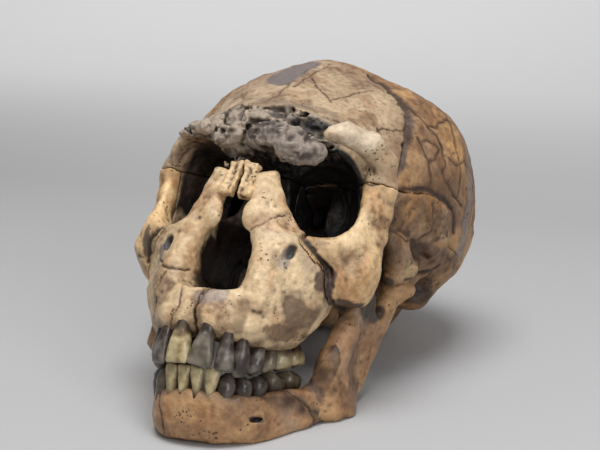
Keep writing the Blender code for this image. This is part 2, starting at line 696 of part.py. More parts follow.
def tooth(name, row, before, after, side):
    x, y, gum, edge, width, depth = row
    along = np.array([after[0] - before[0], after[1] - before[1]])
    along = along / np.linalg.norm(along)
    outward = np.array([along[1], -along[0]])
    outward = outward * np.sign(outward @ (x, y - ARCH_MIDDLE))
    kind = name.split("_")[0]
    turn = 2 * np.pi * (np.arange(RING_SIDES) + 0.5) / RING_SIDES
    across, through = np.cos(turn), np.sin(turn)
    bulge = (np.abs(across) ** RING_POWER + np.abs(through) ** RING_POWER) ** (-1 / RING_POWER)
    across, through = across * bulge, through * bulge
    rings = []
    for share, wide, deep in RINGS[kind]:
        # The outer face of the crown stays steep, so a thin edge sits near it
        back = depth / 2 if kind != "incisor" else depth * (0.5 - EDGE_FORWARD * max(share, 0))
        middle = np.array([x, y]) - outward * back
        sideways = np.outer(across, along) * wide * width / 2
        flat = middle + sideways + np.outer(through, outward) * deep * depth / 2
        level = gum + share * (edge - gum)
        rings.append(np.column_stack([flat, np.full(RING_SIDES, level)]))
    points = np.concatenate(rings)
    points[:, 0] *= side
    faces = []
    for ring in range(len(rings) - 1):
        for i in range(RING_SIDES):
            j = (i + 1) % RING_SIDES
            low, high = ring * RING_SIDES, (ring + 1) * RING_SIDES
            faces.append([low + i, low + j, high + j, high + i])
    faces.append(list(range(RING_SIDES))[::-1])
    faces.append(list(range(len(points) - RING_SIDES, len(points))))
    return facing_out(make(name, points, faces), points, faces)


def set_teeth(bone, table, sides):
    """Fuses a row of teeth to the bone that holds it."""
    names = list(table)
    for side in sides:
        for place, name in enumerate(names):
            before = table[names[place - 1]] if place else (-table[name][0], table[name][1])
            after = table[names[min(place + 1, len(names) - 1)]]
            crown = tooth(name, table[name], before, after, side)
            combine(bone, crown, "UNION")
            discard(crown)
    return largest_piece(bone)


# Finishes
def finish(name, colour, roughness):
    material = bpy.data.materials.new(name)
    material.use_nodes = True
    shader = material.node_tree.nodes["Principled BSDF"]
    shader.inputs["Base Color"].default_value = (*colour, 1)
    shader.inputs["Roughness"].default_value = roughness
    shader.inputs["Metallic"].default_value = 0
    return material


def lay_down(thing, name, material):
    """Tips a bone back to its resting pose and turns it into metres."""
    mesh = thing.data
    points = np.empty(len(mesh.vertices) * 3)
    mesh.vertices.foreach_get("co", points)
    x, y, z = points.reshape(-1, 3).T
    along = y * np.cos(PITCH) + z * np.sin(PITCH) + BACKWARD
    up = z * np.cos(PITCH) - y * np.sin(PITCH) - GROUND
    mesh.vertices.foreach_set("co", (np.stack([x, along, up], 1) / 1000).ravel())
    mesh.update()
    mesh.materials.clear()
    mesh.materials.append(material)
    thing.name = name
    mesh.name = name
    thing.parent = stand_point
    return thing


for thing in list(bpy.data.objects):
    bpy.data.objects.remove(thing)
stand_point = bpy.data.objects.new("Skull", None)
bpy.context.scene.collection.objects.link(stand_point)

face_bone = finish("Face bone", (0.62, 0.47, 0.27), 0.6)
vault_bone = finish("Vault bone", (0.42, 0.30, 0.18), 0.65)
jaw_bone = finish("Jaw bone", (0.55, 0.38, 0.22), 0.6)
grey_stone = finish("Grey stone", (0.16, 0.14, 0.13), 0.8)

rest = solid_of("Rest", braincase_and_face, (-80, -116, -60), (80, 98, 106), SKULL_SHARE)
lump = solid_of("Lump", brow_lump, (-14, -94, 20), (42, -60, 54), LUMP_SHARE)
nasal_left = solid_of("Nasal left", nasal_bone, (-3, -96, 2), (12, -70, 34), NASAL_SHARE, NASAL_CELL)
nasal_right = copy_of(nasal_left, "Nasal right")
nasal_right.data.transform(((-1, 0, 0, 0), (0, 1, 0, 0), (0, 0, 1, 0), (0, 0, 0, 1)))
nasal_right.data.flip_normals()
for insert in (lump, nasal_left, nasal_right):
    cutter = swollen(copy_of(insert, "Cutter"), SUTURE)
    combine(rest, cutter, "DIFFERENCE")
    discard(cutter)

bones = {"frontal": part_off(rest, "frontal", simple("yz", FRONTAL, -100, 100))}
for label, side in (("left", 1), ("right", -1)):
    bones["parietal_" + label] = part_off(rest, "parietal", simple("yz", PARIETAL, SUTURE / 2, 100, side))
for label, side in (("left", 1), ("right", -1)):
    bones["temporal_" + label] = part_off(rest, "temporal", simple("xy", TEMPORAL, -120, 60, side))
bones["occipital"] = part_off(rest, "occipital", simple("xy", OCCIPITAL, -120, 120))
for label, side in (("left", 1), ("right", -1)):
    bones["zygomatic_" + label] = part_off(rest, "zygomatic", cheek_block(side))
for label, side in (("left", 1), ("right", -1)):
    maxilla = part_off(rest, "maxilla", simple("xy", UPPER_JAW, -60, 25, side))
    bones["maxilla_" + label] = set_teeth(maxilla, UPPER_TEETH, [side])
bones["sphenoid"] = largest_piece(rest)
for name, bone in bones.items():
    pale = name.startswith(("maxilla", "zygomatic"))
    lay_down(bone, name, face_bone if pale else vault_bone)
lay_down(lump, "brow_matrix", grey_stone)
lay_down(nasal_left, "nasal_left", face_bone)
lay_down(nasal_right, "nasal_right", face_bone)

mandible = solid_of("Jaw", jaw, (-64, -112, -100), (64, 0, 4), JAW_SHARE)
set_teeth(mandible, LOWER_TEETH, [1, -1])
lay_down(mandible, "mandible", jaw_bone)
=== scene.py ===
"""Looks of a fossil hominin skull with its lower jaw, lying on a pale table.

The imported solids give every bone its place. Each bone here is a finer skin over the same form, with
its cracks, breaks and pits cut into it and its stains painted on it. The forms are worked out in the
skull's own frame in millimetres: x to the skull's left, y to the back, z up, with the origin midway
between the ear openings. They are tipped back onto the table, in metres, when a mesh is made.
"""

import bpy
import numpy as np
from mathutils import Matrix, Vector


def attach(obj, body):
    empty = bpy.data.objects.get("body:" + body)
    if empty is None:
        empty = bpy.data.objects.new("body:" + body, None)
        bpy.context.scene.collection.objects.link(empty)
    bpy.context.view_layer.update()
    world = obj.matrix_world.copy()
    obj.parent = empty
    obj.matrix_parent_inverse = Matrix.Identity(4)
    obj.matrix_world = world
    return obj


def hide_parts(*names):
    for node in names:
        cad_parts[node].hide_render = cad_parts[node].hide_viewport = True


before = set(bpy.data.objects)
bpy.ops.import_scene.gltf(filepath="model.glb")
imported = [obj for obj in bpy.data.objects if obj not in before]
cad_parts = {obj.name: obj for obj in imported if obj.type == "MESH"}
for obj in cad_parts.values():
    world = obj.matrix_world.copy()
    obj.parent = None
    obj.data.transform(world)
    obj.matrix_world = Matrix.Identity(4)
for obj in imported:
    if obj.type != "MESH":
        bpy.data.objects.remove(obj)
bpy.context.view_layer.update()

# The braincase and face as one body of clay. The real skull is a set of fossil bones pieced together
# from fragments; its whole outer form is worked out here once as distances to its surface, and
# every later section takes its own bone out of it.
PITCH = np.radians(23.6)  # how far the skull lies tipped back
TABLE = -46.5  # level of the table under the tipped skull
BACKWARD = 14.2  # shift that brings the middle of the object to y = 0
VAULT_BREADTH = 143.0
VAULT_MIDDLE = (12.0, 34.0)  # y and z
VAULT_SLOPE = 0.93  # the vault's distance rises about this much for each millimetre outwards
VAULT_OUTLINE = [  # the braincase in the middle plane, as y and z
    (-76, 32), (-75, 49), (-61, 60.5), (-41, 73), (-20, 87.5), (0, 99), (20, 102), (42, 97),
    (62, 83), (77, 63), (87, 39), (86, 16), (77, -2), (67, -13), (54, -19), (30, -20),
    (8, -18), (-16, -13), (-40, -6), (-62, 4), (-74, 16),
]
# Ridge along the crown as y and z, off the middle by its x, with the slope of the roof beside it
RIDGE = [(-60, 66), (-40, 78.5), (-20, 91.5), (0, 101.5), (20, 104.5), (42, 99.5), (62, 86), (85, 66)]
RIDGE_X = -4.0
ROOF_SLOPE = 0.38
# The right side of the face is pressed in. By level: z, share, and the x from which it starts
PRESS = [
    (-85, 0.27, 4), (-62, 0.25, 4), (-52, 0.15, 28), (-30, 0.13, 28), (-12, 0.07, 6), (0, 0.11, 6),
    (12, 0.17, 6), (37, 0.22, 6), (60, 0.1, 6),
]
PRESS_EASING = 18.0  # over this much of x the pressing grows to its full share
PRESS_BACK, PRESS_FADE = 5.0, 35.0  # it starts this far before the ears, and is full this much on
LATTICE = 32  # random values along each side of the block that a ripple repeats
FAR = 50  # distance that stands for nothing near


def soft_min(a, b, blend):
    """The lesser of two distances, rounded off where they come within the blend of each other."""
    if blend <= 0:
        return np.minimum(a, b)
    near = np.maximum(blend - np.abs(a - b), 0) / blend
    return np.minimum(a, b) - near * near * (blend / 4)


def soft_max(a, b, blend):
    """The greater of two distances, rounded off in the same way."""
    return -soft_min(-a, -b, blend)


def turned(degrees):
    """The rotation by three angles, about x, then y, then z."""
    (cx, cy, cz), (sx, sy, sz) = np.cos(np.radians(degrees)), np.sin(np.radians(degrees))
    about_x = np.array([[1, 0, 0], [0, cx, -sx], [0, sx, cx]])
    about_y = np.array([[cy, 0, sy], [0, 1, 0], [-sy, 0, cy]])
    about_z = np.array([[cz, -sz, 0], [sz, cz, 0], [0, 0, 1]])
    return (about_z @ about_y @ about_x).astype(np.float32)


def ball(middle, radii, turn=(0, 0, 0)):
    """An ellipsoid: the scaled radius, times itself less one, over the length of its gradient."""
    middle, radii = np.array(middle, np.float32), np.array(radii, np.float32)
    axes = turned(turn)

    def distance(points):
        local = (points - middle) @ axes
        scaled = np.sqrt(((local / radii) ** 2).sum(1))
        slope = np.sqrt(((local / radii**2) ** 2).sum(1))
        return scaled * (scaled - 1) / np.maximum(slope, 1e-6)

    return distance, middle - radii.max(), middle + radii.max()


def rod(spine, radii, blend=0):
    """A round rod: the distance to each stretch of its spine less the radius there, least of all."""
    spine, radii = np.array(spine, np.float32), np.array(radii, np.float32)

    def distance(points):
        found = None
        for a, b, thick_a, thick_b in zip(spine[:-1], spine[1:], radii[:-1], radii[1:]):
            along = b - a
            share = np.clip((points - a) @ along / (along @ along), 0, 1)
            away = np.sqrt(((points - a - share[:, None] * along) ** 2).sum(1))
            away = away - thick_a - (thick_b - thick_a) * share
            found = away if found is None else soft_min(found, away, blend)
        return found

    return distance, spine.min(0) - radii.max(), spine.max(0) + radii.max()


def plate(middle, half, turn=(0, 0, 0), edge=1.0):
    """A block with round edges: the length of what lies past its inner block, less the edge."""
    middle, axes = np.array(middle, np.float32), turned(turn)
    inner = np.array(half, np.float32) - edge

    def distance(points):
        past = np.abs((points - middle) @ axes) - inner
        outside = np.sqrt((np.maximum(past, 0) ** 2).sum(1))
        return outside + np.minimum(past.max(1), 0) - edge

    reach = float(np.linalg.norm(half))
    return distance, middle - reach, middle + reach


def tunnel(rows, squareness=2.5):
    """A hole along y whose rows give y, middle x and z, half width and half height.

    Across it, the scaled offsets to a power are summed as in a rounded square.
    """
    rows = np.array(rows, np.float32)
    sides = rows[:, 1] - rows[:, 3], rows[:, 1] + rows[:, 3]
    ends = rows[:, 2] - rows[:, 4], rows[:, 2] + rows[:, 4]

    def distance(points):
        x, z, wide, high = [np.interp(points[:, 1], rows[:, 0], rows[:, i]) for i in (1, 2, 3, 4)]
        across = np.abs(points[:, 0] - x) / wide
        upward = np.abs(points[:, 2] - z) / high
        ring = (across**squareness + upward**squareness) ** (1 / squareness)
        past_end = np.maximum(points[:, 1] - rows[-1, 0], rows[0, 0] - points[:, 1])
        return np.maximum((ring - 1) * np.minimum(wide, high), past_end)

    low = np.array([sides[0].min(), rows[0, 0], ends[0].min()])
    high = np.array([sides[1].max(), rows[-1, 0], ends[1].max()])
    return distance, low, high


def smooth_loop(corners, steps):
    """A closed curve through its corners, each stretch a cubic that leaves along its neighbours."""
    corners = np.array(corners, float)
    before, after = np.roll(corners, 1, 0), np.roll(corners, -1, 0)
    later = np.roll(corners, -2, 0)
    rings = []
    for t in np.arange(steps) / steps:
        rings.append(
            corners
            + (after - before) * t / 2
            + (2 * before - 5 * corners + 4 * after - later) * t**2 / 2
            + (3 * corners - before - 3 * after + later) * t**3 / 2
        )
    return np.stack(rings, 1).reshape(-1, corners.shape[1])


def inside_outline(flat, outline):
    """Distance in a plane to a closed outline, with the sign that crossings to one side give."""
    outline = np.array(outline, np.float32)
    nearest = np.full(len(flat), 1e9, np.float32)
    sign = np.ones(len(flat), np.float32)
    for a, b in zip(outline, np.roll(outline, -1, 0)):
        side, away = b - a, flat - a
        share = np.clip(away @ side / (side @ side), 0, 1)
        nearest = np.minimum(nearest, ((away - share[:, None] * side) ** 2).sum(1))
        above, below = flat[:, 1] >= a[1], flat[:, 1] < b[1]
        left = side[0] * away[:, 1] > side[1] * away[:, 0]
        sign = np.where((above & below & left) | (~above & ~below & ~left), -sign, sign)
    return sign * np.sqrt(nearest)


class Clay:
    """Distances at an array of points, to which forms are added and from which they are cut.

    The points are first drawn outwards where the right side of the face is pressed in, so that a
    form given for a sound face comes out pressed. A form is laid on the left, the right or both.
    """

    MARGIN = 5.0

    def __init__(self, points):
        x, y, z = points.astype(np.float32).T
        levels, shares, starts = np.transpose(PRESS)
        ramp = np.clip((-x - np.interp(z, levels, starts)) / PRESS_EASING, 0, 1)
        press = np.interp(z, levels, shares) * ramp * np.clip((-y - PRESS_BACK) / PRESS_FADE, 0, 1)
        x = (x * (1 + press)).astype(np.float32)
        self.points = {"left": np.stack([x, y, z], 1), "right": np.stack([-x, y, z], 1)}
        self.points["both"] = np.stack([np.abs(x), y, z], 1)
        self.distances = np.full(len(points), FAR, np.float32)

    def near(self, form, blend, side):
        distance, low, high = form
        reach = blend + self.MARGIN
        points = self.points[side]
        rows = np.nonzero(((points > low - reach) & (points < high + reach)).all(1))[0]
        return rows, distance(points[rows])

    def add(self, form, blend=0.0, side="both"):
        rows, distance = self.near(form, blend, side)
        self.distances[rows] = soft_min(self.distances[rows], distance, blend)

    def cut(self, form, blend=0.0, side="both"):
        rows, distance = self.near(form, blend, side)
        self.distances[rows] = soft_max(self.distances[rows], -distance, blend)


def ripple(points, size, seed):
    """Smooth random values from -1 to 1: a lattice of random numbers, this many millimetres apart,
    read between its corners with an eased share along each axis."""
    table = np.random.default_rng(seed).random((LATTICE,) * 3, np.float32) * 2 - 1
    scaled = points / np.float32(size)
    corner = np.floor(scaled).astype(np.int32)
    share = (scaled - corner).astype(np.float32)
    share = share * share * (3 - 2 * share)
    first, second = corner % LATTICE, (corner + 1) % LATTICE
    total = np.zeros(len(points), np.float32)
    for ix, wx in ((first[:, 0], 1 - share[:, 0]), (second[:, 0], share[:, 0])):
        for iy, wy in ((first[:, 1], 1 - share[:, 1]), (second[:, 1], share[:, 1])):
            for iz, wz in ((first[:, 2], 1 - share[:, 2]), (second[:, 2], share[:, 2])):
                total += table[ix, iy, iz] * wx * wy * wz
    return total


def grain(points, size, octaves, seed):
    """Ripples summed, each of half the size and about half the height of the one before."""
    total = np.zeros(len(points), np.float32)
    for octave in range(octaves):
        total += ripple(points, size / 2**octave, seed + octave) * 0.55**octave
    return total


def height_over_table(points):
    """Height of points over the table, once the skull is tipped back."""
    return points[:, 2] * np.cos(PITCH) - points[:, 1] * np.sin(PITCH) - TABLE


def vault_form():
    """The braincase. In the middle plane its radius follows the outline; sideways the scaled
    offsets to a power are summed, so that it is boxier low down and rounder at the crown."""
    mid_y, mid_z = VAULT_MIDDLE
    curve = smooth_loop(VAULT_OUTLINE, 8)
    angle = np.arctan2(curve[:, 1] - mid_z, curve[:, 0] - mid_y)
    radius = np.hypot(curve[:, 1] - mid_z, curve[:, 0] - mid_y)
    order = np.argsort(angle)

    def distance(points):
        x, y, z = np.abs(points[:, 0]), points[:, 1] - mid_y, points[:, 2] - mid_z
        reach = np.interp(np.arctan2(z, y), angle[order], radius[order], period=2 * np.pi)
        toward_front = np.clip((-points[:, 1] - 15) / 30, 0, 1)
        squareness = np.interp(points[:, 2], [0, 34, 75], [2.8, 2.3, 2.2])
        squareness = squareness - 0.25 * toward_front * np.clip((points[:, 2] - 30) / 20, 0, 1)
        at_nape = np.clip((points[:, 1] - 22) / 16, 0, 1) * (points[:, 2] < 22)
        rounder = np.interp(points[:, 2], [-25, -8, 4, 22], [1.55, 1.75, 2.15, 2.48])
        squareness = squareness + at_nape * (rounder - squareness)
        toward_crown = np.clip((points[:, 2] - 40) / 50, 0, 1)
        at_temples = np.exp(-(((points[:, 1] + 46) / 30) ** 2))
        half = VAULT_BREADTH / 2 * (1 - 0.02 * toward_crown) * (1 - 0.18 * at_temples)
        oval = (x / half) ** squareness + (np.hypot(y, z) / reach) ** squareness
        scale = oval ** (1 / squareness)
        return np.sqrt(x * x + y * y + z * z) * (1 - 1 / np.maximum(scale, 1e-3)) * VAULT_SLOPE

    return distance, np.array([-75, -95, -45]), np.array([75, 105, 110])


vault = vault_form()


def over_the_roof():
    """Everything above the two slopes that meet along the crown's ridge."""
    ridge_y, ridge_z = np.transpose(RIDGE)

    def distance(points):
        level = np.interp(points[:, 1], ridge_y, ridge_z) - ROOF_SLOPE * np.abs(points[:, 0] - RIDGE_X)
        return (level - points[:, 2]) / np.hypot(1, ROOF_SLOPE)

    return distance, np.array([-80, -60, 40]), np.array([80, 100, 120])


def raised_plate(outline, proud, edge):
    """A plate of bone that lies on the braincase: its grown surface, inside an outline drawn on
    the side view in y and z."""
    outline = smooth_loop(outline, 4)

    def distance(points):
        rim = inside_outline(points[:, 1:], outline) + ripple(points, 3.5, 21) * 0.9
        return soft_max(vault[0](points) - proud, rim, edge)

    low = np.array([30, outline[:, 0].min(), outline[:, 1].min()])
    return distance, low, np.array([80, outline[:, 0].max(), outline[:, 1].max()])


def nose_form():
    """The opening of the nose: a pear outline in x and z, narrower towards its back."""
    levels = [-31, -29.5, -27, -23, -17, -8, -3, 3, 9, 14]
    half_widths = [2, 9, 13.5, 15.8, 15.6, 12.6, 9.6, 6.6, 5.4, 4.2]

    def distance(points):
        half = np.interp(points[:, 2], levels, half_widths)
        half = half * np.interp(points[:, 1], [-80, -50, -30], [1, 0.9, 0.75])
        side = np.abs(points[:, 0] - 0.6) - half
        side = soft_max(side, -30 - points[:, 2], 3)
        side = soft_max(side, points[:, 2] - 12.5, 3)
        return soft_max(side, points[:, 1] + 30, 3)

    return distance, np.array([-20, -130, -34]), np.array([20, -30, 16])


SQUAMA_EDGE = [  # the temporal bone's raised plate on the side view, as y and z
    (-44, 6), (-42, 17), (-36, 26), (-22, 30.5), (-12, 28), (-4, 23), (0, 15), (3, 7), (1, 0),
    (-6, -3), (-14, -8), (-28, -12), (-40, -6),
]
ORBIT = [  # a hole along y: y, middle x and z, half width and half height
    (-110, 34, 18.5, 20, 21), (-84, 32.3, 18, 18.8, 20.6), (-66, 30, 17.5, 17.8, 19.6),
    (-50, 25.5, 17, 14, 16), (-36, 18, 15, 7.5, 9), (-26, 14, 14.5, 2.5, 3),
]


def braincase_and_face(points):
    """Distance to the whole outer form: the forms below are added to the vault or cut from it, one
    after another, and nothing is left under the table."""
    clay = Clay(points)
    clay.add(vault)
    clay.cut(over_the_roof(), 8, "left")
    # Hollow of the temple behind the orbit, and the hollow under the cheek
    clay.cut(ball((67, -52, 16), (17, 15, 30), (0, 0, 16)), 12)
    clay.cut(ball((50, -42, -20), (19, 22, 22), (0, 0, 10)), 8)
    # Brow: whole at the left end, a broken bar on the right
    left_brow = [(33, -79, 40.5), (41, -76.5, 42), (49, -69, 40), (53.5, -61, 34), (54.3, -58, 24)]
    clay.add(rod(left_brow, [3.8, 4.6, 5.0, 5.0, 4.8], 4), 5, "left")
    right_brow = [
        (10, -77, 38), (22, -77, 37.5), (34, -73.5, 35.5),
        (44, -67, 32.5), (51, -60, 28), (54, -58, 23),
    ]
    clay.add(rod(right_brow, [7, 6.5, 6, 5.4, 5, 4.8], 4), 6, "right")
    # Pillar at the side of the orbit, its front edge, and the orbit's side wall
    pillar = [(54.2, -57.5, 25), (53.6, -57, 14), (52, -58, 4), (50, -61, -8)]
    clay.add(rod(pillar, [4.8, 4.5, 5, 6.5], 4), 4)
    clay.add(rod([(50, -62, 26), (50, -62.5, 14), (48, -66, 3)], [3.2, 3.4, 4.5], 4), 4)
    clay.add(plate((43.5, -52.5, 11), (2.2, 12.5, 19), (0, 0, 37), 2), 4)
    # Cheek bone
    clay.add(ball((46.5, -65, -12), (8, 11.5, 13), (0, 8, -48)), 7)
    clay.add(ball((48.5, -58, -17), (5, 9, 9.5), (0, 6, -30)), 6)
    # Lower rim of the orbit, and the front of the upper jaw
    rim = [(19, -79, 3), (24, -78.5, -2), (31, -77.5, -5.5), (40, -74, -6), (46, -69, -2)]
    clay.add(rod(rim, [3.2, 4, 4.5, 5, 5], 3), 5)
    clay.add(ball((25, -75, -18), (13, 13, 20), (8, 0, -14)), 8)
    clay.add(ball((21, -80.5, -12), (8, 7, 15), (18, 0, -10)), 6)
    clay.add(ball((33, -69, -24), (10, 9.5, 11), (0, 0, -30)), 7)
    # Arch that holds the upper teeth, with the palate across it
    arch = [
        (0, -97, -40), (9, -95.5, -40), (16, -89, -41),
        (20.5, -80, -41), (23.5, -71, -40), (25, -62, -38),
    ]
    clay.add(rod(arch, [8.5, 8.5, 8.3, 7.8, 7.2, 6.5], 6), 6)
    clay.add(ball((0, -94, -33), (15, 9, 9)), 6)
    clay.add(plate((0, -72, -33), (24, 26, 2.5), edge=2), 4)
    # Walls behind the nose, base of the skull, and the wing plates behind the palate
    clay.add(plate((17, -62, -14), (3.5, 20, 20), (0, 0, 6), 3), 6)
    clay.add(ball((0, -32, -2), (20, 22, 14)), 8)
    clay.add(plate((15, -42, -26), (1.8, 8, 15), (14, 0, -12), 1.6), 4)
    # Orbits and nose
    clay.cut(tunnel(ORBIT), 2)
    clay.cut(nose_form(), 4)
    clay.cut(ball((0, -68, 14), (17, 15, 15)), 4)
    # Frontal process of the upper jaw: a broad plate from beside the nose back to the orbit's rim
    inner_edge = [
        (9.2, -80.5, 22), (8.9, -83, 13), (9.8, -85, 4),
        (14, -85.8, -5), (18.4, -89, -15), (19.4, -92, -25),
    ]
    clay.add(rod(inner_edge, [1.8, 2.4, 2.8, 3.4, 4.2, 5.0], 3), 6)
    clay.add(plate((12.4, -80.9, 13), (4.6, 2.0, 9.5), (-7, -16, 32), 1.6), 4)
    clay.add(ball((20, -84, -27), (9, 8, 12), (10, 0, -30)), 9)
    clay.add(ball((29, -75, -33), (8, 9, 9), (0, 0, -40)), 8)
    clay.add(ball((8.2, -86.5, 3), (3.4, 2.4, 6)), 3)
    middle_line = [(10.2, -79.5, 21), (12.6, -80.8, 12), (15.2, -81.5, 4), (19, -82, -4)]
    clay.add(rod(middle_line, [2.0, 2.9, 3.6, 4.4], 3), 5)
    outer_edge = [(11.2, -78.6, 20.5), (15.3, -79, 12.5), (19.2, -79, 5), (26, -78.3, -2.5)]
    clay.add(rod(outer_edge, [1.7, 2.4, 2.9, 3.6], 3), 5)
    # Raised plate of the temporal bone, with the broken root of the cheek arch
    clay.add(ball((49.5, -11, 3), (9, 28, 13.5), (0, -12, 10)), 4)
    clay.add(raised_plate(SQUAMA_EDGE, 1.6, 0.8), 0.6)
    clay.add(rod([(52, -28, -9), (58, -21, -4), (62, -12, 5), (66, -5, 12)], [3.0, 2.8, 2.6, 2.0], 3), 4)
    clay.cut(ball((63, -18, 6), (6, 8, 4.5), (-35, 0, 0)), 4)
    # Mastoid process and the broken hollow in front of it
    clay.add(ball((50, 18, -7), (7.5, 8.5, 8.5)), 5)
    clay.cut(ball((60, 6, -8), (10, 7, 6), (0, 0, -20)), 3)
    # The two swells of the nape that reach the table, the condyles, and the great opening
    clay.add(ball((16, 52, -11.5), (15.5, 20, 15)), 12)
    clay.add(ball((12, 12, -22), (5, 8, 6), (0, 0, 20)), 3)
    clay.cut(ball((0, 27, -30), (13, 16, 22)), 3)
    # Broken middle of the brow
    clay.cut(ball((23, -77, 47.5), (10, 11, 4), (0, 14, 0)), 1.5, "left")
    clay.cut(ball((0, -82, 30), (17, 9, 8)), 3)
    return np.maximum(clay.distances, -height_over_table(points))


# Every bone's skin. A real bone's surface is smooth where it is whole and rough where it broke; the
# skin is laid over the distances of its form, less what its neighbours take, and coloured vertex by
# vertex: pale on its swells, dark in its hollows with earth and painted shade, with its own stains.
GAP = 0.14  # half the gap between two bones that meet
BLOCK = 4  # cells along each side of the blocks that are tried first
BLOCKS_NEAR = 1.6  # a block is worked out in full if the surface comes within this many blocks
BLOCKS_OWN = 4  # a bone's form is worked out up to this many blocks past its own region
RELIEF_REACH = 6  # relief is worked out this close to the surface alone
MILLIMETRES = 1000  # in a metre
HOLLOW_EARTH_AND_SHADE = (66, 46, 32)  # brown of the earth that settles in every hollow, and of the painted shade there
WARMTH = (1.1, 1.02, 0.89)  # the yellow of old bone, by red, green and blue


def skin(form, low, high, cell):
    """Surface of a form on a grid of cells: each cell that it crosses holds one point, the mean of
    its crossings of the cell's edges, and each crossed edge gives one face of four such points."""
    low = np.array(low, float)
    counts = np.ceil((np.array(high) - low) / cell / BLOCK).astype(int) * BLOCK + 1
    rough = [low[i] + cell * BLOCK * np.arange((counts[i] - 1) // BLOCK + 1) for i in range(3)]
    shape = [len(axis) for axis in rough]
    spots = np.stack(np.meshgrid(*rough, indexing="ij"), -1).reshape(-1, 3)
    coarse = form(spots).reshape(shape)
    corners = [
        np.abs(coarse[i:shape[0] - 1 + i, j:shape[1] - 1 + j, k:shape[2] - 1 + k])
        for i in (0, 1) for j in (0, 1) for k in (0, 1)
    ]
    crossed = np.minimum.reduce(corners) < cell * BLOCK * BLOCKS_NEAR
    values = np.full(counts, FAR, np.float32)
    wanted = np.zeros(counts, bool)
    coarse = coarse[:-1, :-1, :-1]
    for axis in range(3):
        crossed = np.repeat(crossed, BLOCK, axis)
        coarse = np.repeat(coarse, BLOCK, axis)
    values[:-1, :-1, :-1] = coarse
    wanted[:-1, :-1, :-1] = crossed
    for axis in range(3):
        wanted |= np.roll(wanted, 1, axis)
    places = np.argwhere(wanted)
    values[tuple(places.T)] = form(places * cell + low)
    return net_over(values, low, cell)


def net_over(values, low, cell):
    """Points and four-sided faces over a grid of distances, with the faces turned outwards."""
    inside = values < 0
    stride = np.array([values.shape[1] * values.shape[2], values.shape[2], 1])
    cells, spots, faces = [], [], []
    for axis in range(3):
        second, third = (axis + 1) % 3, (axis + 2) % 3
        here = tuple(slice(0, -1) if a == axis else slice(None) for a in range(3))
        there = tuple(slice(1, None) if a == axis else slice(None) for a in range(3))
        start = np.argwhere(inside[here] != inside[there])
        for other in (second, third):
            start = start[(start[:, other] > 0) & (start[:, other] < values.shape[other] - 1)]
        end = start + np.eye(3, dtype=int)[axis]
        first, last = values[tuple(start.T)], values[tuple(end.T)]
        spot = start.astype(float)
        spot[:, axis] += first / (first - last)
        own = start @ stride
        around = np.stack([
            own, own - stride[second], own - stride[second] - stride[third], own - stride[third],
        ], 1)
        cells.append(around.T.reshape(-1))
        spots.append(np.tile(spot, (4, 1)))
        faces.append(np.where((first < 0)[:, None], around, around[:, ::-1]))
    cells, spots, faces = np.concatenate(cells), np.concatenate(spots), np.concatenate(faces)
    names, index, number = np.unique(cells, return_inverse=True, return_counts=True)
    index = index.reshape(-1)
    mean = np.stack([np.bincount(index, spots[:, i]) / number for i in range(3)], 1)
    return mean * cell + low, np.searchsorted(names, faces)


def largest_part(points, faces):
    """Drops the loose scraps: labels spread along the faces' edges until each part has one."""
    label = np.arange(len(points))
    ends = np.concatenate([faces, np.roll(faces, -1, 1)]).reshape(2, -1)
    while True:
        lower = np.minimum(label[ends[0]], label[ends[1]])
        fresh = label.copy()
        np.minimum.at(fresh, ends[0], lower)
        np.minimum.at(fresh, ends[1], lower)
        fresh = fresh[fresh]
        fresh = fresh[fresh]
        if (fresh == label).all():
            break
        label = fresh
    names, sizes = np.unique(label, return_counts=True)
    kept = label == names[sizes.argmax()]
    renumber = np.cumsum(kept) - 1
    return points[kept], renumber[faces[kept[faces[:, 0]]]]


def outward(points, faces):
    """Unit normals at the points: the cross products of the faces' diagonals, summed."""
    corner = points[faces]
    normal = np.cross(corner[:, 2] - corner[:, 0], corner[:, 3] - corner[:, 1])
    total = np.stack([
        np.bincount(faces.ravel(), np.repeat(normal[:, i], 4), len(points)) for i in range(3)
    ], 1)
    return total / np.maximum(np.linalg.norm(total, axis=1), 1e-9)[:, None]


def sunkenness(points, faces, rounds):
    """How deep each point lies in a hollow, in millimetres: how far it moves along its normal when
    every point is drawn to the mean of its neighbours this many times."""
    following = np.roll(faces, -1, 1).ravel()
    first = faces.ravel()
    number = np.bincount(first, minlength=len(points)) + np.bincount(following, minlength=len(points))
    moved = points
    for _ in range(rounds):
        moved = np.stack([
            np.bincount(first, moved[following, i], len(points))
            + np.bincount(following, moved[first, i], len(points))
            for i in range(3)
        ], 1) / number[:, None]
    return ((moved - points) * outward(points, faces)).sum(1)


def tone(red, green, blue):
    """A colour of everyday eight-bit values as the shader's linear ones."""
    value = np.array([red, green, blue]) / 255
    return np.where(value <= 0.04045, value / 12.92, ((value + 0.055) / 1.055) ** 2.4)


def toward(colours, target, share):
    """Draws colours part of the way to another colour."""
    share = np.clip(share, 0, 1)[:, None]
    return colours * (1 - share) + np.asarray(target) * share


def blot(points, middle, radii, seed, ragged=0.35):
    """A stain: one inside a ball with a ragged edge, and nothing outside it."""
    away = np.sqrt((((points - middle) / radii) ** 2).sum(1))
    coarse = ripple(points, min(radii) * 0.9, seed)
    fine = ripple(points, min(radii) * 0.35, seed)
    away = away + coarse * ragged + fine * ragged / 2
    return np.clip((1.1 - away) / 0.25, 0, 1)


def with_stains(colours, points, stains):
    """Lays stains one over another. Each gives its colour and share, the middle and radii of its
    ball, its seed and, if it has its own, how ragged its edge is."""
    for colour, share, middle, radii, seed, *ragged in stains:
        colours = toward(colours, tone(*colour), share * blot(points, middle, radii, seed, *ragged))
    return colours


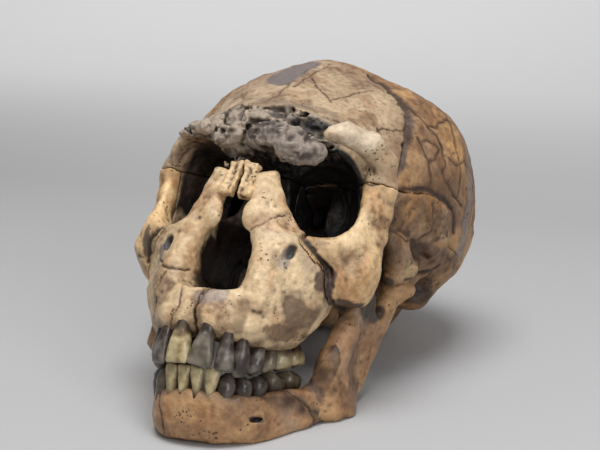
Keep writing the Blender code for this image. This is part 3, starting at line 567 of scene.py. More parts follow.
def bone_colours(points, faces, pale, dark, seed, worn=0.5):
    """The common colours of bone: two tones mixed by slow ripples, with grey, rusty and brown
    patches, darkened in hollows with earth and painted shade, and lightened where the bone swells."""
    mix = 0.42 + 0.9 * grain(points, 18, 3, seed) + 0.4 * grain(points, 4.5, 2, seed + 7)
    colours = toward(np.tile(tone(*pale), (len(points), 1)), tone(*dark), np.clip(mix, 0, 1) * worn)
    greyed = np.clip(1.1 * grain(points, 24, 2, seed + 10) - 0.05, 0, 0.55)
    lightness = 0.6 + 0.4 * colours.mean(1) / colours.mean()
    colours = toward(colours, tone(158, 143, 132) * lightness[:, None], greyed)
    rusty = np.clip(1.3 * grain(points, 10, 3, seed + 13) - 0.15, 0, 0.5)
    colours = toward(colours, tone(*dark) * (1.15, 0.95, 0.8), rusty)
    stained = np.clip(1.9 * grain(points, 12, 3, seed + 16) - 0.42, 0, 0.6)
    colours = toward(colours, tone(98, 70, 48), stained)
    fine, wide = sunkenness(points, faces, 3), sunkenness(points, faces, 14)
    # Earth and painted shade, deepest where the surface is most sunken
    colours = toward(colours, tone(*HOLLOW_EARTH_AND_SHADE), np.clip(fine * 7 + wide * 1.5 - 0.12, 0, 0.92))
    swell = np.clip(-wide * 0.7 - fine * 4 - 0.05, 0, 0.35)
    return toward(colours, tone(*pale) * 1.12, swell) * WARMTH


def mesh_of(name, points, faces, colours):
    """A mesh of four-sided faces, tipped back onto the table, with its colours as an attribute."""
    x, y, z = points.T
    along = y * np.cos(PITCH) + z * np.sin(PITCH) + BACKWARD
    up = np.maximum(height_over_table(points), 0)
    laid = np.stack([x, along, up], 1) / MILLIMETRES
    mesh = bpy.data.meshes.new(name)
    mesh.vertices.add(len(laid))
    mesh.vertices.foreach_set("co", laid.astype(np.float32).ravel())
    mesh.loops.add(faces.size)
    mesh.loops.foreach_set("vertex_index", faces.astype(np.int32).ravel())
    mesh.polygons.add(len(faces))
    mesh.polygons.foreach_set("loop_start", np.arange(0, faces.size, 4, dtype=np.int32))
    mesh.update(calc_edges=True)
    mesh.shade_smooth()
    layer = mesh.color_attributes.new("paint", "FLOAT_COLOR", "POINT")
    full = np.ones((len(points), 4), np.float32)
    full[:, :3] = colours
    layer.data.foreach_set("color", full.ravel())
    piece = bpy.data.objects.new(name, mesh)
    bpy.context.scene.collection.objects.link(piece)
    return piece


def new_node(nodes, kind, values, operation=None):
    """A shader node of this kind, with its sockets set to these values."""
    node = nodes.new("ShaderNode" + kind)
    if operation:
        node.operation = operation
    for socket, value in values.items():
        node.inputs[socket].default_value = value
    return node


def bone_finish(name, roughness, speckle, bump):
    """Fossil bone: the painted colours, broken up by fine noise and peppered with small dark pits,
    over a bump of fine grain; its gloss comes and goes with the noise."""
    material = bpy.data.materials.new(name)
    material.use_nodes = True
    nodes, links = material.node_tree.nodes, material.node_tree.links
    shader = nodes["Principled BSDF"]
    place = nodes.new("ShaderNodeTexCoord").outputs["Object"]
    paint = nodes.new("ShaderNodeAttribute")
    paint.attribute_name = "paint"
    fine = new_node(nodes, "TexNoise", {"Scale": 420, "Detail": 6, "Roughness": 0.65})
    links.new(place, fine.inputs["Vector"])
    shading = {"From Min": 0.3, "From Max": 0.7, "To Min": 0.72, "To Max": 1.22}
    shade = new_node(nodes, "MapRange", shading)
    links.new(fine.outputs["Fac"], shade.inputs["Value"])
    varied = new_node(nodes, "VectorMath", {}, "SCALE")
    links.new(paint.outputs["Color"], varied.inputs[0])
    links.new(shade.outputs["Result"], varied.inputs["Scale"])
    # Small dark pits, where scattered cells come close to their middles; noise bends their outlines
    shaken = new_node(nodes, "TexNoise", {"Scale": 900})
    links.new(place, shaken.inputs["Vector"])
    bent = new_node(nodes, "VectorMath", {1: (0.0011, 0.0011, 0.0011)}, "MULTIPLY_ADD")
    links.new(shaken.outputs["Color"], bent.inputs[0])
    links.new(place, bent.inputs[2])
    cells = new_node(nodes, "TexVoronoi", {"Scale": 620})
    links.new(bent.outputs["Vector"], cells.inputs["Vector"])
    patches = new_node(nodes, "TexNoise", {"Scale": 95, "Detail": 3})
    links.new(place, patches.inputs["Vector"])
    sizes = {"From Min": 0.48, "From Max": 0.7, "To Min": 0.02, "To Max": speckle}
    size = new_node(nodes, "MapRange", sizes)
    links.new(patches.outputs["Fac"], size.inputs["Value"])
    inside = new_node(nodes, "Math", {}, "SUBTRACT")
    links.new(size.outputs["Result"], inside.inputs[0])
    links.new(cells.outputs["Distance"], inside.inputs[1])
    pit = new_node(nodes, "MapRange", {"From Max": 0.12})
    links.new(inside.outputs["Value"], pit.inputs["Value"])
    softened = new_node(nodes, "Math", {1: 0.8}, "MULTIPLY")
    links.new(pit.outputs["Result"], softened.inputs[0])
    colour = nodes.new("ShaderNodeMix")
    colour.data_type = "RGBA"
    colour.inputs["B"].default_value = (*tone(52, 36, 26), 1)
    links.new(softened.outputs["Value"], colour.inputs["Factor"])
    links.new(varied.outputs["Vector"], colour.inputs["A"])
    links.new(colour.outputs["Result"], shader.inputs["Base Color"])
    gloss = new_node(nodes, "MapRange", {"To Min": roughness - 0.12, "To Max": roughness + 0.14})
    links.new(patches.outputs["Fac"], gloss.inputs["Value"])
    links.new(gloss.outputs["Result"], shader.inputs["Roughness"])
    height = new_node(nodes, "Math", {}, "SUBTRACT")
    links.new(fine.outputs["Fac"], height.inputs[0])
    links.new(softened.outputs["Value"], height.inputs[1])
    relief = new_node(nodes, "Bump", {"Strength": bump, "Distance": 0.0009})
    links.new(height.outputs["Value"], relief.inputs["Height"])
    links.new(relief.outputs["Normal"], shader.inputs["Normal"])
    return material


def line_distance(flat, corners):
    """Distance in a plane to an open line through its corners."""
    corners = np.array(corners, np.float32)
    nearest = np.full(len(flat), 1e9, np.float32)
    for a, b in zip(corners[:-1], corners[1:]):
        side, away = b - a, flat - a
        share = np.clip(away @ side / (side @ side), 0, 1)
        nearest = np.minimum(nearest, ((away - share[:, None] * side) ** 2).sum(1))
    return np.sqrt(nearest)


VIEWS = {"side": [1, 2], "front": [0, 2], "top": [0, 1]}  # the two axes that each view shows


def crack_depth(points, cracks):
    """Depth of the cracks at each point. A crack's row gives the view that it is drawn on, its line
    there, its half width and depth, and a box that it stays in; ripples make it wander."""
    wander = np.stack([ripple(points, 4, 50 + i) for i in range(3)], 1)
    wander += 0.5 * np.stack([ripple(points, 1.5, 53 + i) for i in range(3)], 1)
    depth = np.zeros(len(points), np.float32)
    for view, corners, width, deep, (low, high) in cracks:
        rows = np.nonzero(((points > low) & (points < high)).all(1))[0]
        flat = (points[rows] + 0.8 * wander[rows])[:, VIEWS[view]].astype(np.float32)
        share = np.clip(1.3 - line_distance(flat, corners) / width, 0, 1)
        uneven = 0.75 + 0.4 * ripple(points[rows], 5, 56)
        depth[rows] = np.maximum(depth[rows], deep * share * uneven)
    return depth


def with_cracks(colours, points, cracks):
    """Fills the cracks with dark earth, which has stained the bone on both sides of them."""
    stained = [(view, corners, width * 5, 1.0, box) for view, corners, width, _, box in cracks]
    colours = toward(colours, tone(104, 76, 55), 0.42 * crack_depth(points, stained))
    share = np.clip((crack_depth(points, cracks) - 0.2) * 1.15, 0, 0.88)
    return toward(colours, tone(54, 39, 32) * (1 + 0.5 * ripple(points, 3, 57))[:, None], share)


CAVE_WALL = 2.6  # a point this close to the hollow of an orbit or the nose lies on its wall
NOSE_RIM = ((-32, -26, -20, 0, 20), (-95, -94, -90, -82, -77))  # levels, and y of the rim there


def with_painted_cave_shade(colours, points):
    """Paints shade on what lies behind the rims of the orbits and the nose: black on the left, dark
    brown on the right."""
    local = Clay(points).points["both"]
    x, y, z = local.T
    # The orbit's rim runs back by 14 millimetres from its inner to its outer side
    orbit_rim = -78 + 14 * np.clip((x - 17) / 30, 0, 1) ** 1.5
    in_orbit = np.clip((y - orbit_rim - 2.5) / 4, 0, 1)
    in_orbit = in_orbit * np.clip(CAVE_WALL - tunnel(ORBIT)[0](local), 0, 1)
    in_nose = np.clip((y - np.interp(z, *NOSE_RIM) - 2) / 6, 0, 1)
    in_nose = in_nose * np.clip(CAVE_WALL - nose_form()[0](local), 0, 1)
    between = np.clip((y + 73) / 4, 0, 1) * (x < 22) * (z > -32) * (z < 42) * (y < -10)
    # Painted shade: the darkness deep in the orbits, the nose and behind the face, laid on as colour
    share = np.maximum(np.maximum(in_orbit, in_nose), between)
    left = np.clip(points[:, 0] / 8 + 0.5, 0, 1)[:, None]
    deep = tone(52, 40, 33) * (1 - left) + tone(17, 14, 13) * left
    deep = deep * np.clip(1 + 0.9 * grain(points, 6, 3, 40), 0.3, 2.4)[:, None]
    return toward(colours, deep, share)


def rubble(points, seed):
    """Relief of broken stone: ripples of three sizes folded at their middles, so that lumps meet
    in sharp creases."""
    total = np.zeros(len(points), np.float32)
    for octave, (size, height) in enumerate(((7, 3.4), (3.3, -2.4), (1.9, 1.7))):
        total += height * (0.25 - np.abs(ripple(points, size, seed + octave)))
    return total


def rubble_colours(points, pale, dark, seed):
    """Mottled stone, pale on the tops of its lumps and nearly black in its creases."""
    mix = np.clip(0.5 + 0.8 * grain(points, 5, 3, seed + 5) + 0.5 * rubble(points, seed), 0, 1)
    colours = toward(np.tile(tone(*pale), (len(points), 1)), tone(*dark), mix)
    return toward(colours, tone(24, 19, 17), np.clip(rubble(points, seed) - 0.55, 0, 0.9))


# Boxes that cracks stay in, as two corners
LEFT_VAULT = ((20, -80, -30), (90, 100, 110))
RIGHT_VAULT = ((-90, -80, 20), (20, 100, 110))
ANY_VAULT = ((-90, -80, 20), (90, 100, 110))
# Borders between the bones: on the side view as y and z, from above as x and y, and for the front
# of the cheek as x and z
CORONAL = [(-42.5, 25), (-36, 37), (-32, 46), (-25, 56), (-18, 68), (-10, 80), (-3, 91), (2, 99)]
FRONTAL_EDGE = [(-140, 25), *CORONAL, (6, 115), (-140, 115)]
PARIETAL_EDGE = [
    (-70, 27), (-43, 27), (-36, 28), (-22, 31.5), (-12, 29), (-3, 24), (1, 15), (15, 12), (48, 2),
    (72, 66), (92, 118), (-70, 118),
]
TEMPORAL_EDGE = [(12, -43), (12, -8), (68, 48), (95, 48), (95, -43)]
OCCIPITAL_EDGE = [(-12, -8), (12, -8), (68, 48), (95, 48), (95, 130), (-95, 130), (-95, 48), (-68, 48)]
CHEEK_FRONT = [(30, 30), (30, -4), (39.4, -15.7), (41.5, -26), (42, -50), (95, -50), (95, 30)]
CHEEK_PLAN = [(20, -125), (20, -80), (40, -60), (54, -46), (95, -46), (95, -125)]
UPPER_JAW_EDGE = [(0.05, -130), (0.05, -46), (60, -46), (60, -130)]
CROWN_LEVEL = 60  # the temporal bones end under this
CHEEK_LEVELS = (-60, 30)  # the cheek bones lie between these
UPPER_JAW_LEVEL = 25  # the upper jaw bones end under this


def wandering(points):
    """Points moved a little by ripples, so that a straight border runs as a suture does."""
    shift = [
        ripple(points, 8, 60 + i) * 1.1 + ripple(points, 2.6, 63 + i) * 0.45 for i in range(3)
    ]
    return points + np.stack(shift, 1)


def claims(points):
    """Each bone's own region as a distance, below zero inside it, before its neighbours' claims."""
    x, y, z = wandering(points).T
    side_view = np.stack([y, z], 1).astype(np.float32)
    mirrored_top = np.stack([np.abs(x), y], 1).astype(np.float32)
    frontal = inside_outline(side_view, FRONTAL_EDGE)
    parietal = inside_outline(side_view, PARIETAL_EDGE)
    temporal = np.maximum(inside_outline(mirrored_top, TEMPORAL_EDGE), z - CROWN_LEVEL)
    occipital = inside_outline(np.stack([x, y], 1).astype(np.float32), OCCIPITAL_EDGE)
    cheek = np.maximum(
        inside_outline(np.stack([np.abs(x), z], 1).astype(np.float32), CHEEK_FRONT),
        inside_outline(mirrored_top, CHEEK_PLAN),
    )
    cheek = np.maximum(cheek, np.maximum(CHEEK_LEVELS[0] - z, z - CHEEK_LEVELS[1]))
    jaw = np.maximum(inside_outline(mirrored_top, UPPER_JAW_EDGE), z - UPPER_JAW_LEVEL)
    return {
        "frontal": frontal, "parietal": parietal, "temporal": temporal, "occipital": occipital,
        "zygomatic": cheek, "maxilla": jaw, "middle": x,
    }


# A bone takes from its region what no bone before it in this order has taken
ORDER = ["frontal", "parietal", "temporal", "occipital", "zygomatic", "maxilla", "sphenoid"]


def bone_skin(kind, side, low, high, cell, relief):
    """A bone taken from the clay: the greatest of the clay's distance with its relief, its own
    claim and its elders' claims turned round, each moved in by half the gap."""
    def form(points):
        claim = claims(points)
        own = claim[kind] if kind in claim else np.full(len(points), -FAR, np.float32)
        for elder in ORDER[:ORDER.index(kind)]:
            own = np.maximum(own, -claim[elder])
        if side:
            own = np.maximum(own, -side * claim["middle"])
        own = own + GAP
        body = np.full(len(points), FAR, np.float32)
        rows = np.nonzero(own < cell * BLOCK * BLOCKS_OWN)[0]
        body[rows] = braincase_and_face(points[rows])
        near = rows[np.abs(body[rows]) < RELIEF_REACH]
        body[near] += relief(points[near])
        return np.maximum(body, own)

    return largest_part(*skin(form, low, high, cell))


def weathering(points, strength, seed):
    """Uneven fossil surface: low ripples, and round pits where a second ripple runs high."""
    swell = ripple(points, 9, seed) * 0.45 + ripple(points, 3.4, seed + 1) * 0.28
    pitted = np.clip(ripple(points, 2.0, seed + 2) - 0.55, 0, 1) * 0.5
    patch = np.clip(ripple(points, 12, seed + 3) + 0.1, 0, 1)
    return strength * (swell + ripple(points, 1.6, seed + 4) * 0.17 + pitted * patch)


face_finish = bone_finish("Face bone", 0.46, 0.42, 0.6)
vault_finish = bone_finish("Vault bone", 0.52, 0.40, 0.7)


# Frontal bone. It is greyish cream where the outer skin is whole, and grey and spongy where the brow
# broke away; the right brow survives as a rough bar, the left only at its outer end.
BROW_OUTLINE = [  # the broken brow on the front view, as x and z
    (-62, 30), (-62, 44), (-42, 50), (-18, 54.5), (-6, 53), (10, 55), (22, 53.5), (30, 49), (33, 43),
    (34, 32), (20, 22), (-10, 22), (-16, 36), (-28, 38.5), (-40, 37.5), (-50, 35),
]
PATCH = [  # grey patch on the crown, from above, as x and y
    (-24, -20), (-20, -10), (-11, -4), (-1, -10), (-2, -24), (-3, -41), (-7, -43), (-16, -33),
]
CORONAL_CRACKS = [
    ("side", CORONAL, 1.5, 1.7, LEFT_VAULT),
    ("side", CORONAL, 0.9, 1.0, RIGHT_VAULT),
]
FRONTAL_CRACKS = [
    *CORONAL_CRACKS,
    ("top", [(2, -29), (9, -37), (15, -41), (20, -44)], 0.5, 0.8, ANY_VAULT),
    ("top", [(19, -42), (23, -32), (26, -25), (29, -20)], 0.5, 0.8, ANY_VAULT),
    ("top", [(-4, -38), (-1, -56), (-2, -66)], 0.45, 0.6, ANY_VAULT),
    ("top", [(-36, -26), (-28, -34), (-20, -48)], 0.45, 0.6, ANY_VAULT),
    ("top", [(2, -8), (1, -24), (0, -42)], 0.4, 0.6, ANY_VAULT),
    ("side", [(-22, 59), (-30, 57), (-36, 56), (-41, 52)], 0.55, 0.9, LEFT_VAULT),
    ("front", [(24, 53), (33, 50.5), (41, 48.5), (48, 46)], 0.7, 0.9, ((20, -90, 30), (60, -50, 60))),
    ("side", [(-48, 27), (-42, 27), (-38, 32)], 1.6, 1.6, LEFT_VAULT),
]


def broken_brow(points):
    """Share of the broken brow at each point: one inside its outline on the front of the head."""
    flat = points[:, [0, 2]].astype(np.float32)
    edge = inside_outline(flat, BROW_OUTLINE) + ripple(points, 5, 31) * 1.6 + ripple(points, 2, 32) * 0.6
    return np.clip(0.5 - edge / 1.2, 0, 1) * np.clip((-52 - points[:, 1]) / 4, 0, 1)


def frontal_relief(points):
    """Rubble on the broken brow, sunk in on the left, and worn bone with cracks elsewhere."""
    rough = broken_brow(points)
    sunk = 2.2 * np.clip((points[:, 0] + 24) / 8, 0, 1)
    smooth = np.clip(1 + inside_outline(points[:, :2].astype(np.float32), PATCH) / 2, 0.15, 1)
    whole = weathering(points, 1, 30) * smooth + crack_depth(points, FRONTAL_CRACKS)
    return whole * (1 - rough) + (rubble(points, 33) + sunk) * rough


def frontal_colours(points, faces):
    """Cream bone with a pale brow end, a grey patch and grey stone, and painted shade over the ledge, in
    one gap and inside the orbits.
    """
    colours = bone_colours(points, faces, (184, 165, 141), (134, 112, 91), 36)
    colours = with_stains(colours, points, [((224, 205, 178), 0.8, (42, -74, 42), (12, 10, 7), 39, 0.2)])
    # Painted shade along the ledge of the broken brow
    painted_shade_over_ledge = np.clip(1.2 - np.abs(points[:, 2] - 56) / 5, 0, 1) * (points[:, 1] < -52)
    colours = toward(colours, tone(128, 108, 90), painted_shade_over_ledge * (0.5 + 0.8 * ripple(points, 5, 38)))
    behind_temple = np.clip((np.abs(points[:, 0]) - 42) / 6, 0, 1)
    behind_temple = behind_temple * np.clip((points[:, 1] + 54) / 8, 0, 1)
    colours = toward(colours, tone(126, 96, 68), 0.6 * behind_temple)
    in_patch = np.clip(0.5 - inside_outline(points[:, :2].astype(np.float32), PATCH), 0, 1)
    colours = toward(colours, tone(108, 97, 95), 0.95 * in_patch * (points[:, 2] > 60))
    colours = with_cracks(colours, points, FRONTAL_CRACKS)
    stone = rubble_colours(points, (160, 144, 127), (62, 51, 45), 33)
    colours = toward(colours, stone, broken_brow(points))
    # Painted shade, black, inside the gap in the broken brow
    from_gap = np.sqrt((((points - (23, -76, 47.5)) / (10, 12, 4.5)) ** 2).sum(1))
    gap = np.clip(1.3 - from_gap, 0, 0.3) / 0.3
    return with_painted_cave_shade(toward(colours, tone(16, 13, 12), gap), points)


def place_bone(name, skin_parts, colour, material):
    """Puts a bone's mesh, coloured and in its finish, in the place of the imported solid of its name."""
    points, faces = skin_parts
    piece = mesh_of(name + "_bone", points, faces, colour(points, faces))
    piece.data.materials.append(material)
    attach(piece, "root")
    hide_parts(name)


frontal_parts = bone_skin("frontal", 0, (-64, -94, 20), (66, 12, 106), 0.7, frontal_relief)
place_bone("frontal", frontal_parts, frontal_colours, vault_finish)


# Parietal bones. They are the two plates that roof the head, browner than the brow, pieced together
# from many fragments, so that cracks run all over them.
SIDES = (("left", 1), ("right", -1))
PARIETAL_CRACKS = [
    *CORONAL_CRACKS,
    ("side", [(-14, 73), (-14, 66), (-10, 59), (-9, 50), (-12, 41), (-5, 35), (6, 33)], 0.8, 1.1,
     LEFT_VAULT),
    ("side", [(-21, 57), (-20, 47), (-20, 38), (-21, 31)], 0.7, 1.0, LEFT_VAULT),
    ("side", [(-21, 55), (-16, 57), (-11, 54), (-19, 46)], 0.6, 0.9, LEFT_VAULT),
    ("side", [(-12, 64), (-4, 68), (4, 72), (14, 72)], 0.5, 0.8, LEFT_VAULT),
    ("side", [(-10, 52), (0, 50), (8, 54), (22, 50)], 0.5, 0.8, LEFT_VAULT),
    ("side", [(0, 34), (4, 46), (2, 60), (8, 76), (6, 92)], 0.5, 0.8, LEFT_VAULT),
    ("side", [(-36, 29), (-22, 33), (-10, 32), (0, 27), (4, 20)], 1.7, 1.5, LEFT_VAULT),
    ("side", [(20, 90), (18, 72), (24, 56), (20, 40), (26, 24)], 0.6, 0.9, LEFT_VAULT),
    ("side", [(44, 88), (38, 70), (44, 50), (40, 30), (46, 14)], 0.6, 0.9, ANY_VAULT),
    ("top", [(4, 2), (14, 12), (8, 32), (20, 50)], 0.6, 0.9, ANY_VAULT),
    ("top", [(-10, 2), (-24, 14), (-18, 34), (-30, 52)], 0.6, 0.9, ANY_VAULT),
    ("top", [(-50, -30), (-40, -6), (-54, 18), (-44, 40)], 0.6, 0.9, ANY_VAULT),
]


def parietal_relief(points):
    """Worn bone with its cracks."""
    return weathering(points, 1.2, 70) + crack_depth(points, PARIETAL_CRACKS)


def parietal_colours(points, faces):
    """Brown bone with darker streaks, and a grey strip down the left side."""
    colours = bone_colours(points, faces, (186, 148, 104), (104, 74, 48), 76, 0.85)
    streaks = np.clip(1.4 * grain(points * (1, 1.0, 0.3), 3.6, 3, 77), 0, 0.5)
    colours = toward(colours, tone(110, 76, 50), streaks)
    colours = with_stains(colours, points, [
        ((86, 60, 42), 0.5, (62, -2, 38), (24, 30, 16), 78),
        ((188, 152, 112), 0.5, (56, -28, 42), (10, 7, 12), 79),
    ])
    x, y, z = points.T
    strip = np.clip((y - 11) / 2, 0, 1) * np.clip((25 - y) / 2, 0, 1)
    strip = strip * np.clip((64 - z) / 6, 0, 1) * (x > 40)
    colours = toward(colours, tone(138, 124, 114), 0.8 * strip)
    return with_cracks(colours, points, PARIETAL_CRACKS)


def box_of(side, inner, outer, low, high):
    """Corners of a box on one side of the head: its reach in x from the middle plane, and its low
    and high y and z."""
    near, far = sorted((inner * side, outer * side))
    return (near, *low), (far, *high)


for label, side in SIDES:
    box = box_of(side, -2, 76, (-72, -2), (98, 104))
    parts = bone_skin("parietal", side, *box, 0.95, parietal_relief)
    place_bone("parietal_" + label, parts, parietal_colours, vault_finish)


# Temporal bones. Each is a thin raised plate on the side of the head with the ear's bony base under
# it; the cheek arch broke off at its root and left a rough stub.
TEMPORAL_CRACKS = [
    ("side", [(-38, 12), (-30, 8), (-20, 10), (-8, 4)], 0.5, 0.8, LEFT_VAULT),
    ("side", [(-20, 27), (-16, 16), (-20, 6)], 0.45, 0.7, LEFT_VAULT),
    ("side", [(-4, 24), (3, 18), (4, 10), (2, 2), (8, -6)], 1.2, 1.5, LEFT_VAULT),
    ("side", [(-24, -8), (-14, -5), (-4, -1), (5, 4)], 1.3, 1.6, LEFT_VAULT),
    ("side", [(5, 20), (12, 16), (20, 12), (26, 16)], 0.7, 1.0, LEFT_VAULT),
]


def temporal_relief(points):
    """Worn bone with its cracks."""
    return weathering(points, 1.4, 80) + crack_depth(points, TEMPORAL_CRACKS)


def painted_shade_behind_orbit(points):
    """Share of painted shade in the deep recess between the orbit and the temple."""
    inward = np.clip((51 - np.abs(points[:, 0])) / 2, 0, 0.95)
    return inward * np.clip((-points[:, 1] - 18) / 6, 0, 1)


def temporal_colours(points, faces):
    """Brown bone, with painted shade that makes it nearly black in its hollows, towards its front and
    behind the orbit.
    """
    colours = bone_colours(points, faces, (144, 112, 77), (80, 58, 41), 86, 0.95)
    # Painted shade: darker towards the front, in the hollow of the temple
    colours = toward(colours, tone(60, 44, 34), 0.7 * np.clip((-32 - points[:, 1]) / 6, 0, 1))
    colours = with_stains(colours, points, [
        # Painted shade in the hollow at the root of the cheek arch
        ((66, 48, 38), 0.7, (64, -16, 6), (9, 8, 5), 87),
        ((196, 168, 124), 0.6, (58, -22, -5), (8, 9, 5), 89),
        ((182, 152, 108), 0.6, (68, 8, 18), (8, 9, 8), 84),
        # Painted shade in the hollows in front of the mastoid and under the cheek
        ((34, 25, 20), 0.8, (55, 9, -8), (11, 11, 8), 88),
        ((30, 23, 19), 0.9, (50, -34, -14), (9, 12, 7), 85),
    ])
    # Painted shade, nearly black, in the recess behind the orbit
    colours = toward(colours, tone(24, 18, 16), painted_shade_behind_orbit(points))
    return with_cracks(colours, points, TEMPORAL_CRACKS)


for label, side in SIDES:
    box = box_of(side, 8, 76, (-48, -46), (52, 36))
    parts = bone_skin("temporal", side, *box, 0.8, temporal_relief)
    place_bone("temporal_" + label, parts, temporal_colours, vault_finish)


# Occipital bone. It closes the back and the base of the head, thick and plain, around the great
# opening where the spine enters; it carries part of the skull's weight on the table.
def occipital_relief(points):
    """Plain worn bone."""
    return weathering(points, 1, 90)


def occipital_colours(points, faces):
    """Plain brown bone."""
    return bone_colours(points, faces, (170, 138, 100), (104, 78, 54), 96, 0.8)


parts = bone_skin("occipital", 0, (-74, -12, -34), (74, 96, 72), 1.0, occipital_relief)
place_bone("occipital", parts, occipital_colours, vault_finish)


# Sphenoid. It is the bone deep between the face and the base, dark with earth, seen at the back of
# the orbits and the nose, where painted shade makes it darker still, and behind the palate.
def sphenoid_relief(points):
    """Worn bone under a coat of earth."""
    return weathering(points, 1.3, 100) + grain(points, 5, 2, 105) * 0.5


def sphenoid_colours(points, faces):
    """Dark earth, with painted shade that makes it nearly black behind and inside the orbits and in the
    nose.
    """
    colours = bone_colours(points, faces, (96, 74, 56), (46, 34, 27), 106, 0.9)
    # Painted shade behind the orbit, in the orbits and in the nose
    return with_painted_cave_shade(toward(colours, tone(22, 17, 15), painted_shade_behind_orbit(points)), points)


parts = bone_skin("sphenoid", 0, (-54, -52, -46), (54, -4, 30), 0.9, sphenoid_relief)
place_bone("sphenoid", parts, sphenoid_colours, vault_finish)


# Cheek bones. Each carries the orbit's outer rim down to the cheek's corner, where the arch to the
# ear broke away; they are cream, with a dark stain on the right one.
LEFT_FACE = ((10, -120, -60), (70, -50, 40))
RIGHT_FACE = ((-70, -120, -60), (-6, -50, 40))
CHEEK_BREAK = [(30.5, -2), (34, -7), (38, -10.5), (41.5, -15), (42, -20), (42, -30)]
RIGHT_BREAK = [(-32, -3), (-38, -8), (-40.5, -12), (-41.5, -18)]
CHEEK_CRACKS = [
    ("front", CHEEK_BREAK, 1.5, 1.8, LEFT_FACE),
    ("front", [(45, 25), (50, 24), (56, 26)], 0.6, 0.9, LEFT_FACE),
    ("front", RIGHT_BREAK, 1.5, 1.4, RIGHT_FACE),
    ("front", [(-48, -16), (-37, -18), (-28, -20)], 0.5, 0.8, RIGHT_FACE),
]


def cheek_relief(points):
    """Worn bone with its cracks."""
    return weathering(points, 0.9, 110) + crack_depth(points, CHEEK_CRACKS)


def cheek_colours(points, faces):
    """Cream bone with dark stains beside the break, and painted shade under the lower corner and inside
    the orbit.
    """
    colours = bone_colours(points, faces, (224, 196, 154), (166, 128, 90), 116, 0.6)
    colours = with_stains(colours, points, [
        ((228, 199, 155), 0.65, (47, -67, -1), (9, 12, 13), 113),
        ((58, 40, 30), 0.8, (-42, -74, -9), (3, 6, 6), 118),
        ((52, 36, 31), 0.9, (41, -73, -19), (3.5, 8, 7), 119),
        # Painted shade under the cheek's lower corner
        ((40, 28, 23), 0.9, (46, -62, -28), (9, 9, 4), 114),
    ])
    return with_painted_cave_shade(with_cracks(colours, points, CHEEK_CRACKS), points)


for label, side in SIDES:
    box = box_of(side, 26, 66, (-92, -36), (-42, 30))
    parts = bone_skin("zygomatic", side, *box, 0.65, cheek_relief)
    place_bone("zygomatic_" + label, parts, cheek_colours, face_finish)


# Upper jaw bones. Each runs from the free tip beside the nose down to the tooth sockets; they are
# the palest bones, speckled with pits, with a hole for a nerve under each orbit.
MAXILLA_CRACKS = [
    ("front", CHEEK_BREAK, 1.3, 1.6, LEFT_FACE),
    ("front", [(9, -4), (14, -1), (18, 3), (22, 5)], 0.45, 0.7, LEFT_FACE),
    ("front", RIGHT_BREAK, 1.2, 1.2, RIGHT_FACE),
    ("front", [(-28, -19), (-20, -23), (-13, -22.5)], 0.6, 1.0, RIGHT_FACE),
    ("front", [(-20, -23), (-23, -32), (-21, -44)], 0.45, 0.7, RIGHT_FACE),
    ("front", [(-10, -30), (-8, -38), (-11, -47)], 0.45, 0.7, ((-40, -120, -60), (0, -80, -20))),
    ("front", [(2, -29), (1, -34), (-0.5, -39), (0.5, -44), (-1, -50)], 0.7, 1.1,
     ((-10, -120, -60), (10, -80, -20))),
]
NERVE_HOLES = [  # middle, radii and side
    ((28.3, -87.5, -10.5), (1.3, 4, 2.6), "left"), ((26.5, -87, -12), (1.5, 5, 3.2), "right"),
]
TOOTH_ROOTS = [(5.6, -107), (15, -103), (20.6, -97), (24.4, -89), (26.8, -81)]  # x and y


def maxilla_relief(points):
    """Worn bone with cracks, a nerve hole on each side, and swells over the roots."""
    clay = Clay(points)
    for middle, radii, side in NERVE_HOLES:
        clay.add(ball(middle, radii, (0, 20, 0)), 0, side)
    hole = np.clip(1.5 - clay.distances, 0, 3.5)
    # Long swells over the roots of the front teeth
    roots = np.zeros(len(points), np.float32)
    for x, y in TOOTH_ROOTS:
        away = np.hypot(np.abs(points[:, 0]) - x, (points[:, 1] - y) * 0.5)
        roots += np.exp(-((away / 3) ** 2)) * np.clip((-34 - points[:, 2]) / 8, 0, 1)
    return weathering(points, 0.9, 120) + crack_depth(points, MAXILLA_CRACKS) + hole - 0.9 * roots


def maxilla_colours(points, faces):
    """Pale bone with brown stains over the teeth, grey under its nerve holes, and painted shade inside
    them and in the orbits and nose.
    """
    colours = bone_colours(points, faces, (206, 186, 156), (152, 124, 96), 126)
    for middle, _, side in NERVE_HOLES:
        spot = np.array(middle) * ((1 if side == "left" else -1), 1, 1)
        colours = with_stains(colours, points, [
            ((118, 108, 106), 0.7, spot - (1, 0, 4), (2.4, 5, 5), 127),
            # Painted shade, near black, inside the hole
            ((50, 50, 56), 0.95, spot, (1.7, 6, 3.2), 128, 0.1),
        ])
    colours = with_stains(colours, points, [
        ((52, 37, 31), 0.9, (40.5, -73, -19), (4, 8, 7), 119),
        ((94, 69, 49), 0.85, (32, -78, -34), (8, 11, 8.5), 121),
        ((88, 63, 45), 0.75, (27, -86, -42.5), (10, 9, 4), 124),
        ((120, 96, 72), 0.6, (-21, -98, -34), (7, 8, 8), 125),
        ((112, 84, 60), 0.6, (1, -104, -36), (3, 5, 9), 129),
        ((140, 127, 122), 0.7, (5, -102, -33), (6, 8, 4), 122),
    ])
    colours = with_cracks(colours, points, MAXILLA_CRACKS)
    at_gum = np.clip((-44.5 - points[:, 2]) / 5, 0, 0.7) * (0.7 + 0.8 * ripple(points, 4, 123))
    # Painted shade in the orbit and nose
    return with_painted_cave_shade(toward(colours, tone(84, 60, 44), at_gum), points)


for label, side in SIDES:
    box = box_of(side, -2, 56, (-112, -54), (-42, 28))
    parts = bone_skin("maxilla", side, *box, 0.62, maxilla_relief)
    place_bone("maxilla_" + label, parts, maxilla_colours, face_finish)


